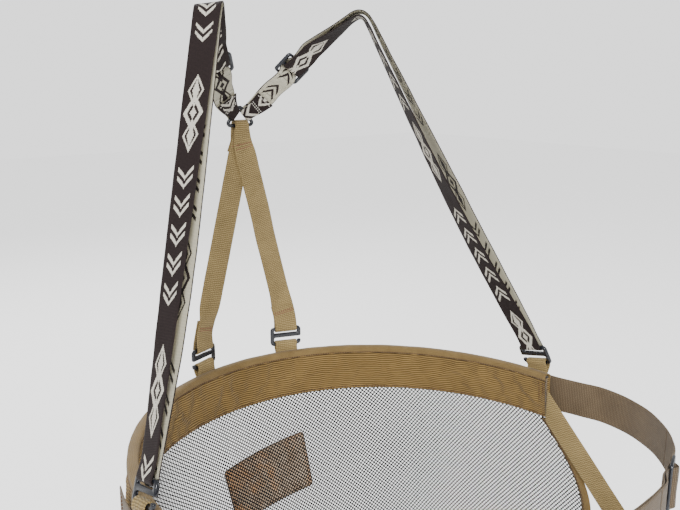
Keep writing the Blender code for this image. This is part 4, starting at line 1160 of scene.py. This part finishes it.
# ---- Loops and yoke --------------------------------------------------------------------------------
def make_hook_loop(name):
    """Webbing loop sewn to the band's outside, with the hook's bottom bar in its fold."""
    side, along, placement = HOOKS[name]
    along = side * along
    tail = 24 * MM
    radius = math.hypot(HOOK_BAR / 2, HOOK_THICK / 2) + GAP + WEBBING_THICK / 2
    towards_front = (placement @ Vector((1, 0, 0)) - placement.translation).y * along < 0
    direction = 1 if towards_front else -1
    half = WEBBING_WIDTH / 2
    below = -HOOK_BAR / 2 - 0.8 * MM
    fold = [(radius * sine, -radius * cosine) for sine, cosine in half_turn(12)]
    crumpled = name == "front_left"
    tight = 0.8 if crumpled else 1.0

    def on_seat(drop, out):
        return np.concatenate([seat_points(along + direction * o, drop, out) for o in (-half, half)])

    def on_hook(up, out):
        return np.concatenate([np.array(placement @ Vector((o * tight, up, out))) for o in (-half, half)])

    sewn = (tail, tail * 0.75, tail / 2, 4 * MM)
    rows = [on_seat(drop, LOOP_PLY_OUT[0]) for drop in sewn]
    rows += [on_hook(below, -radius)] + [on_hook(u, o) for u, o in fold] + [on_hook(below, radius)]
    rows += [on_seat(drop, LOOP_PLY_OUT[1]) for drop in reversed(sewn)]
    rows = smooth(rows, 1.6 * MM)
    part = strip(rows, seed=along * 40, wave=0.3 * MM)
    if crumpled:
        share = np.sin(np.linspace(0, math.pi, len(rows))) ** 2
        pleats = 0.75 * MM * np.sin(ACROSS * 9.0 + 0.6)[None, :] * share[:, None]
        part["grid"] = part["grid"] + normals_of(part["grid"]) * pleats[..., None]
    obj = piece(f"hook_loop_webbing_{name}", [part], WEBBING_THICK, WEBBING)
    on_saddle(obj, f"hook_loop_{name}")
    at = np.linspace(along - half + 2 * MM, along + half - 2 * MM, 12)
    proud = LOOP_PLY_OUT[1] + WEBBING_THICK / 2 + 0.05 * MM
    lines = [seam(at, drop, proud) for drop in np.arange(9, 22, 3) * MM]
    saddle_stitches(f"hook_loop_stitches_{name}", lines, ROSE_THREAD, 2.2 * MM)


def yoke_leg_course(placement):
    """Course of one leg of the V, from the ring's bar down to a back hook's top bar."""
    across = np.array(placement.col[0][:3])
    foot, above_foot = hook_top_bar(placement), hook_top_bar(placement, 11 * MM)
    head = np.array(RING_BAR)
    below_head = head - np.array([0, 0, 16 * MM])
    path = rounded_path([head, below_head, above_foot, foot], [10 * MM, 8 * MM], 4, 24 * MM)
    level = np.array([-1.0, 0, 0])
    tilt = unit(np.cross(unit(above_foot - below_head), (0, -1, 0)))
    return Course(path, [0, 0.05, 0.16, 0.80, 0.88, 1], [level, level, tilt, tilt, across, across])


def yoke_leg_stations(course, layer):
    """The leg's way round both bars. Layer 1 lies over layer 0 at the ring."""
    at_ring = fold_radius(RING_WIRE, WEBBING_THICK, layer)
    at_hook = hook_fold(WEBBING_THICK)
    low, length = SEWN_OUT, course.length
    high = low + layer * (WEBBING_THICK + GAP)
    stations = [(30 * MM, -high), (15 * MM, -high), (6 * MM, -0.7 * at_ring - 0.3 * high)]
    stations += turn_round(0, at_ring, 180, 360)
    stations += [(6 * MM, 0.7 * at_ring + 0.3 * high), (15 * MM, high), (30 * MM, high)]
    stations += [(s, high) for s in course.at if 36 * MM < s < length * 0.5]
    stations += [(s, low) for s in course.at if length * 0.5 <= s < length - 36 * MM]
    stations += [(length - 30 * MM, low), (length - 15 * MM, low),
                 (length - 6 * MM, 0.7 * at_hook + 0.3 * low)]
    stations += turn_round(length, at_hook, 0, 180)
    stations += [(length - 6 * MM, -0.7 * at_hook - 0.3 * low), (length - 15 * MM, -low),
                 (length - 30 * MM, -low)]
    return stations


def make_yoke_leg(side, label):
    """One leg of the V: folded round the ring's bar above and round a back hook's top bar below."""
    course = yoke_leg_course(HOOKS[f"back_{label}"][2])
    length, narrow = course.length, 15.5 * MM

    def width(along):
        return narrow + (WEBBING_WIDTH - narrow) * min(max(along / (26 * MM), 0), 1)

    rows = strap_rows(course, yoke_leg_stations(course, 0 if side < 0 else 1), width)
    obj = piece(f"yoke_webbing_{label}", [strip(rows, seed=2.0 + side)], WEBBING_THICK, WEBBING)
    bend = (length - 62 * MM, length - 14 * MM)
    blend_along(obj, f"g_hook_back_{label}", course, *bend)
    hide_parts(f"yoke_leg_{label}")
    lift = WEBBING_THICK / 2 + THREAD_LIFT
    head_turn, foot_turn = int(np.argmin(rows[:, 6])), int(np.argmax(rows[:, 6]))
    head_seams, foot_seams = (20 * MM, 23 * MM), (length - 19 * MM, length - 22 * MM)
    lines = tack(rows[:head_turn], head_seams, lift) + tack(rows[head_turn:foot_turn], head_seams, lift)
    saddle_stitches(f"yoke_tab_stitches_{label}", lines, ROSE_THREAD, 2.2 * MM)
    lines = tack(rows[foot_turn:], foot_seams, lift) + tack(rows[head_turn:foot_turn], foot_seams, lift)
    sewn = stitches(f"yoke_foot_stitches_{label}", lines, ROSE_THREAD, 2.4 * MM)
    blend_along(sewn, f"g_hook_back_{label}", course, *bend)


# ---- Suspenders ------------------------------------------------------------------------------------
def suspender_course():
    """Course of the +X suspender from the ring's side bar, over the shoulder, to the front hook."""
    placement = HOOKS["front_right"][2]
    up_the_bar = 0.58
    head = np.array(RING_BAR) + np.array([RING_HALF_WIDTH * (1 - up_the_bar), 0, RING_HEIGHT * up_the_bar])
    ring_side = unit((-RING_HALF_WIDTH, 0, RING_HEIGHT))
    leaving = unit(np.array(BACK_BOW) - head)
    leaving = unit(leaving - ring_side * (leaving @ ring_side))
    path = rounded_path(
        [head, head + leaving * 24 * MM, BACK_BOW, SHOULDER, hook_top_bar(placement, 14 * MM),
         hook_top_bar(placement)],
        [10 * MM, 26 * MM, 16 * MM, 9 * MM], 5, 16 * MM,
    )
    across = -np.array(placement.col[0][:3])
    widths = [ring_side, (-0.80, -0.15, 0.58), (-0.80, -0.25, 0.50), (-0.72, -0.62, 0.25),
              (-0.60, -0.78, 0.05), (-0.22, -0.90, 0.22), across, across]
    return Course(path, [0, 0.04, 0.17, 0.232, 0.30, 0.75, 0.93, 1], widths)


def woven_through(slide, thickness, steps=8):
    """Stations of a strap that passes a slide's outer bars on one side and its middle bar on the other."""
    beside = SLIDE_BAR / 2 + GAP + thickness / 2
    over = fold_radius(SLIDE_BAR / math.sqrt(2), thickness) + thickness + GAP
    swing, middle = (over + beside) / 2, (over - beside) / 2
    return [
        (slide + SLIDE_PITCH * step / steps, middle + swing * math.cos(math.pi * step / steps))
        for step in range(-steps, steps + 1)
    ]


def sewn_to_middle_bar(slide, thickness):
    """Stations of a strap's end, folded round a slide's middle bar."""
    behind = SLIDE_BAR / 2 + 2 * GAP + 1.5 * thickness
    fold = fold_radius(SLIDE_BAR / math.sqrt(2), thickness)
    return [(slide + SLIDE_PITCH + 9 * MM, -behind), (slide + SLIDE_PITCH, -behind),
            (slide + SLIDE_PITCH / 2, -behind * 0.95)] + turn_round(slide, fold, 180, 300, 6)


SHOULDER_SPLIT = 190 * MM
RING_SPLIT = 30 * MM


def suspender_stations(course):
    """Round the ring, through the slide, over the shoulder, round the hook and back to the slide."""
    at_ring = fold_radius(RING_WIRE, STRAP_THICK)
    at_hook = hook_fold(STRAP_THICK)
    rest, length = SEWN_OUT, course.length

    def inner_out(along):
        run = (along - SLIDE_ALONG) / (length - SLIDE_ALONG)
        return -(2 * MM + 7 * MM * math.sin(math.pi * min(max(run, 0), 1) ** 1.6))

    on_front = [s for s in course.at if SLIDE_ALONG + SLIDE_PITCH + 12 * MM < s < length - 20 * MM]
    stations = [(26 * MM, -rest), (14 * MM, -rest), (6 * MM, -at_ring * 0.85)]
    stations += turn_round(0, at_ring, 180, 360)
    stations += [(6 * MM, at_ring * 0.85), (14 * MM, rest), (26 * MM, rest), (38 * MM, rest)]
    stations += woven_through(SLIDE_ALONG, STRAP_THICK)
    stations += [(s, rest) for s in on_front]
    stations += [(length - 13 * MM, rest), (length - 5 * MM, at_hook * 0.8)]
    stations += turn_round(length, at_hook, 0, 180)
    stations += [(length - 5 * MM, -at_hook * 0.9), (length - 13 * MM, -at_hook)]
    stations += [(s, inner_out(s)) for s in reversed(on_front)]
    return stations + sewn_to_middle_bar(SLIDE_ALONG, STRAP_THICK)


def make_suspender(side, label):
    """One strap in four sections, since the ring, the slide and the hook each pull on a part of it."""
    course = suspender_course()
    narrow, length = 14 * MM, course.length

    def width(along):
        return narrow + (WEBBING_WIDTH - narrow) * min(max((along - 4 * MM) / (20 * MM), 0), 1)

    rows = strap_rows(course, suspender_stations(course), width, side)
    whole = strip(rows, seed=5.0 + side, wave=0.35 * MM)
    along = rows[:, 6]
    ring_turn = int(np.argmin(along[: len(along) // 4]))
    hook_turn = int(np.argmax(along))
    ring_cut = first_row(along > RING_SPLIT, ring_turn)
    slide_cut = first_row(along > SLIDE_ALONG - SLIDE_PITCH - 3 * MM, ring_turn)
    shoulder_out = first_row(along > SHOULDER_SPLIT, ring_turn)
    shoulder_in = first_row(along < SHOULDER_SPLIT, hook_turn)
    last = len(rows) - 1
    glide = f"tri_glide_{label}"
    # Each section's spans of rows, a body, and a start and an end along the course
    sections = {
        "ring_end": ([(0, ring_cut)], "yoke_ring", RING_SPLIT, 9 * MM),
        "lower": ([(ring_cut, slide_cut)], glide, RING_SPLIT + 2 * MM, SLIDE_ALONG - SLIDE_PITCH - 5 * MM),
        "upper": ([(slide_cut, shoulder_out), (shoulder_in, last)], glide,
                  SLIDE_ALONG + 70 * MM, SLIDE_ALONG + 18 * MM),
        "front": ([(shoulder_out, shoulder_in)], f"g_hook_front_{label}",
                  length - 80 * MM, length - 15 * MM),
    }
    for place, (spans, body, start, end) in sections.items():
        strips = [section(whole, *span) for span in spans]
        obj = piece(f"suspender_{place}_{label}", strips, STRAP_THICK, JACQUARD[label])
        blend_along(obj, body, course, start, end, side)
        if place == "front":
            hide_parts(f"suspender_strap_{label}")
    lift = STRAP_THICK / 2 + THREAD_LIFT
    seams = (12 * MM, 15 * MM, 23 * MM)
    lines = tack(rows[:ring_turn], seams, lift) + tack(rows[ring_turn:slide_cut], seams, lift)
    sewn = stitches(f"suspender_tab_stitches_{label}", lines, PALE_THREAD, 2.4 * MM)
    blend_along(sewn, "yoke_ring", course, RING_SPLIT, 9 * MM, side)


# ---- Belt ------------------------------------------------------------------------------------------
def belt_course():
    """Course of half the belt: on the band's outside, round the hip, to the middle of the front."""
    backs = np.linspace(75, 0, 6) * MM
    points = [tuple(seat_points(BAND_HALF_LENGTH - back, -BELT_MID_Z, BELT_OUT)[:2]) for back in backs]
    turn_y, flat = -292 * MM, 55 * MM
    points.append(((points[-1][0] + BELT_HALF_WIDTH) / 2, -265 * MM))
    for step in range(15):
        turn = math.pi / 2 * step / 14
        x = flat + (BELT_HALF_WIDTH - flat) * math.cos(turn)
        points.append((x, turn_y + (BELT_FRONT_Y - turn_y) * math.sin(turn)))
    points.append((0, BELT_FRONT_Y))
    return Course(np.array([(x, y, BELT_MID_Z) for x, y in points]), [0, 1], [(0, 0, 1), (0, 0, 1)])


def belt_stations(course, end, slide, doubled):
    """The belt's way round the buckle's bar, and back through the slide where it is doubled."""
    wrap = fold_radius(BUCKLE_BAR / math.sqrt(2), BELT_THICK)
    rest = BELT_THICK / 2 + GAP / 2
    near_end = end - 14 * MM
    turn = [(end - 4 * MM, wrap * 0.85)] + turn_round(end, wrap, 0, 180) + [(end - 4 * MM, -wrap * 0.85)]
    if not doubled:
        stations = [(s, rest) for s in course.at if s < near_end] + [(near_end, rest)] + turn
        return stations + [(near_end, -rest), (end - 45 * MM, -rest)]
    clear = SLIDE_PITCH + 8 * MM
    stations = [(s, rest) for s in course.at if s < slide - clear]
    stations += woven_through(slide, BELT_THICK)
    between = [s for s in course.at if slide + clear < s < near_end]
    stations += [(s, rest) for s in between] + [(near_end, rest)] + turn
    stations += [(near_end, -rest)] + [(s, -rest) for s in reversed(between)]
    return stations + sewn_to_middle_bar(slide, BELT_THICK)


def make_belt(side, label):
    """Half of the belt. The +X half is doubled back through a slide so that it can be let out."""
    course = belt_course()
    end, slide = course.length - BUCKLE_HALF, course.length - BELT_SLIDE_ALONG
    stations = belt_stations(course, end, slide, side > 0)
    rows = strap_rows(course, stations, lambda along: BELT_WIDTH, side, 3 * MM)
    whole = strip(rows, seed=8.0 + side, wave=0.5 * MM)
    along = rows[:, 6]
    turned = int(np.argmax(along))
    if side < 0:
        obj = piece("waist_belt_left", [whole], BELT_THICK, BELT_CLOTH)
        on_saddle(obj, "belt_left")
    else:
        back, middle, reach = slide - 70 * MM, slide + 44 * MM, SLIDE_PITCH + 3 * MM
        cuts = [first_row(along > place) for place in (back, slide, middle)]
        into, last = first_row(along < middle, turned), len(rows) - 1
        obj = piece("waist_belt_right_side", [section(whole, 0, cuts[0])], BELT_THICK, BELT_CLOTH)
        on_saddle(obj, "belt_right")
        sections = {
            "behind_slide": ([(cuts[0], cuts[1])], "belt_slide", back + 2 * MM, slide - reach),
            "before_slide": ([(cuts[1], cuts[2]), (into, last)], "belt_slide",
                             middle - 2 * MM, slide + reach),
            "front": ([(cuts[2], into)], "buckle_tongue", middle + 2 * MM, end - 12 * MM),
        }
        for place, (spans, body, start, finish) in sections.items():
            strips = [section(whole, *span) for span in spans]
            obj = piece(f"waist_belt_right_{place}", strips, BELT_THICK, BELT_CLOTH)
            blend_along(obj, body, course, start, finish)
    lift = BELT_THICK / 2 + THREAD_LIFT
    lines = tack(rows[: len(rows) // 3], (8 * MM, 12 * MM, 60 * MM, 64 * MM), lift)
    saddle_stitches(f"waist_belt_stitches_{label}", lines, DARK_THREAD, 3.0 * MM)
    if side < 0:
        lines = tack(rows[: turned], (end - 20 * MM, end - 24 * MM, end - 40 * MM), lift)
        saddle_stitches("waist_belt_end_stitches", lines, DARK_THREAD, 3.0 * MM)


# ---- Leg straps ------------------------------------------------------------------------------------
def leg_course():
    """Course of a leg strap: from the bottom band, round the thigh, to the bridge loop's lower end."""
    sewn = [seat_points(75 * MM, drop, 9 * MM) for drop in (256 * MM, 304 * MM)]
    corners = sewn + [np.array(c) * MM for c in (
        (42, -116, -342), (26, -184, -354), (55, -245, -344), (120, -300, -318), (216, -345, -258),
        (236.2, -318, -222), (236.2, -312, -183),
    )]
    path = rounded_path(corners, [c * MM for c in (12, 26, 30, 30, 30, 20, 14)], 3, 26 * MM)
    level, thigh, ahead = (1, -0.36, 0), (0.6, 0.29, -0.75), (0, 1, -0.05)
    widths = [level, level, (0.55, 0, -0.8), (0.1, 0.1, -1), (0.3, -0.2, -0.9), thigh, thigh,
              (0.25, 0.7, -0.5), ahead, ahead]
    return Course(path, [0, 0.09, 0.22, 0.36, 0.5, 0.62, 0.82, 0.88, 0.93, 1], widths)


def make_leg_strap(side, label):
    """The strap with its end turned back through a slide, and the short anchor that holds the slide."""
    course = leg_course()
    slide = course.length - LEG_SLIDE_BACK
    bar = SLIDE_BAR / 2
    fold = fold_radius(bar * math.sqrt(2), WEBBING_THICK)
    beside = bar + GAP + WEBBING_THICK / 2
    strap = [(s, 0) for s in course.at if s < slide - 26 * MM]
    strap += [(slide - SLIDE_PITCH - 6 * MM, -beside * 0.8), (slide - SLIDE_PITCH, -beside),
              (slide - 4 * MM, -beside)]
    strap += turn_round(slide, fold, 180, 0)
    strap += [(slide - 4 * MM, beside), (slide - SLIDE_PITCH, beside), (slide - 30 * MM, beside),
              (slide - 52 * MM, beside)]
    top = slide + SLIDE_PITCH
    sewn = [top + reach * MM for reach in (12, 16, 20, 24)]
    anchor = [(s, -SEWN_OUT) for s in reversed(sewn)] + [(top + 5 * MM, -fold * 0.8)]
    anchor += turn_round(top, fold, 180, 360)
    anchor += [(top + 5 * MM, fold * 0.8)] + [(s, SEWN_OUT) for s in sewn]
    anchor += [(s, SEWN_OUT) for s in course.at if s > top + 30 * MM]
    lift = WEBBING_THICK / 2 + THREAD_LIFT
    for kind, stations in (("strap", strap), ("anchor", anchor)):
        rows = strap_rows(course, stations, lambda along: WEBBING_WIDTH, side)
        obj = piece(f"leg_{kind}_webbing_{label}", [strip(rows, seed=13.0 + side)], WEBBING_THICK, WEBBING)
        if kind == "strap":
            blend_along(obj, f"leg_slide_{label}", course, slide - 90 * MM, slide - 22 * MM, side)
            sewn_end, seams = rows[: len(rows) // 3], (8 * MM, 14 * MM, 20 * MM, 26 * MM)
            lines = tack(sewn_end, seams, -lift) + tack(sewn_end, seams, lift)
        else:
            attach(obj, "saddle")
            lines = tack(rows[: len(rows) // 4], (top + 16 * MM, top + 20 * MM), lift)
            lines += tack(rows, (course.length - 6 * MM, course.length - 12 * MM), lift)
        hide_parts(f"leg_{kind}_{label}")
        saddle_stitches(f"leg_{kind}_stitches_{label}", lines, ROSE_THREAD, 2.4 * MM)


# ---- Hardware --------------------------------------------------------------------------------------
METAL_EASE, BUCKLE_EASE = 0.3 * MM, 0.35 * MM


def soften(node, width, angle=35):
    """Eases the edges of a hard CAD node with modifiers alone."""
    obj = frame["nodes"][node]
    weld = obj.modifiers.new("weld", "WELD")
    weld.merge_threshold = 0.002 * MM
    ease = obj.modifiers.new("ease", "BEVEL")
    ease.width = width
    ease.segments = 2
    ease.limit_method = "ANGLE"
    ease.angle_limit = math.radians(angle)
    ease.harden_normals = True
    obj.data.shade_smooth()


def dress(node, finish):
    obj = frame["nodes"][node]
    obj.data.materials.clear()
    obj.data.materials.append(finish.material)


def make_hardware():
    for name in frame["nodes"]:
        if name.startswith("g_hook") or name == "yoke_ring":
            dress(name, HOOK_ENAMEL)
        elif "slide" in name or name.startswith("tri_glide"):
            dress(name, SLIDE_ENAMEL)
        elif name.startswith("buckle"):
            dress(name, PLASTIC)
        else:
            continue
        soften(name, BUCKLE_EASE if name.startswith("buckle") else METAL_EASE)


# ---- Studio ----------------------------------------------------------------------------------------
# The photo's camera: its place in millimetres from the seat's own origin, turn and lift in degrees
CAMERA_PLACE = (-454.6, -718.31, 318.53)
CAMERA_TURN, CAMERA_LIFT = -39.27, 13.06
CAMERA_LENS, CAMERA_SENSOR = 42.25, 36
WORLD_LIGHT, BACKDROP_LIGHT, FLOOR_LIGHT = 0.5, 1.7, 1.15
FLOOR_REACH = 6.0
LIGHT_AIM = Vector((0, 0, 0.35))
# Each light's name, place in metres, size in metres and power in watts
STUDIO_LIGHTS = (
    ("key", (-1.6, -1.7, 1.8), 1.0, 80),
    ("fill", (1.9, -1.2, 1.1), 1.6, 10),
    ("rim", (0.4, 1.8, 1.7), 1.2, 26),
)


def make_floor():
    """A pale floor that glows a little to the camera alone."""
    floor_mesh = bpy.data.meshes.new("floor")
    corners = [(x * FLOOR_REACH, y * FLOOR_REACH, 0) for x, y in ((-1, -1), (1, -1), (1, 1), (-1, 1))]
    floor_mesh.from_pydata(corners, [], [(0, 1, 2, 3)])
    floor = put("floor", floor_mesh)
    floor.location.z = -2 * MM
    pale = Finish("pale_floor", "")
    seen = pale.tree.nodes.new("ShaderNodeLightPath").outputs["Is Camera Ray"]
    pale.set(Base_Color=(0.93, 0.93, 0.93, 1), Roughness=0.9, Emission_Color=(1, 1, 1, 1),
             Emission_Strength=pale.math("MULTIPLY", seen, FLOOR_LIGHT))
    floor_mesh.materials.append(pale.material)


def make_sky():
    """White light from all round, and a brighter backdrop for the camera."""
    sky = bpy.data.worlds.new("studio")
    sky.use_nodes = True
    background = sky.node_tree.nodes["Background"]
    seen = sky.node_tree.nodes.new("ShaderNodeLightPath").outputs["Is Camera Ray"]
    level = sky.node_tree.nodes.new("ShaderNodeMapRange")
    sky.node_tree.links.new(seen, level.inputs[0])
    level.inputs[3].default_value = WORLD_LIGHT
    level.inputs[4].default_value = BACKDROP_LIGHT
    sky.node_tree.links.new(level.outputs[0], background.inputs[1])
    background.inputs[0].default_value = (1, 1, 1, 1)
    bpy.context.scene.world = sky


def make_lamps():
    for name, place, size, power in STUDIO_LIGHTS:
        light = bpy.data.lights.new(name, "AREA")
        light.shape = "DISK"
        light.size = size
        light.energy = power
        lamp = put(name, light)
        lamp.location = place
        lamp.rotation_euler = (LIGHT_AIM - Vector(place)).to_track_quat("-Z", "Y").to_euler()


def make_camera():
    camera = bpy.data.cameras.new("camera")
    camera.lens = CAMERA_LENS
    camera.sensor_width = CAMERA_SENSOR
    camera.clip_start = 0.01
    turn, lift = math.radians(CAMERA_TURN), math.radians(CAMERA_LIFT)
    back = Vector((math.sin(turn) * math.cos(lift), -math.cos(turn) * math.cos(lift), math.sin(lift)))
    right = Vector((math.cos(turn), math.sin(turn), 0))
    up = back.cross(right)
    placement = Matrix((right, up, back)).transposed().to_4x4()
    placement.translation = Vector(CAMERA_PLACE) * MM + Vector(ORIGIN)
    bpy.context.scene.camera = put("camera", camera)
    bpy.context.scene.camera.matrix_world = placement


# ---- Build -----------------------------------------------------------------------------------------
make_net()
make_bands()
make_band_bindings()
make_band_stitches()
make_side_bindings()
make_patch()
for hook in HOOKS:
    make_hook_loop(hook)
for side, label in SIDES:
    make_bridge(side, label)
    make_yoke_leg(side, label)
    make_suspender(side, label)
    make_belt(side, label)
    make_leg_strap(side, label)
make_hardware()
make_floor()
make_sky()
make_lamps()
make_camera()
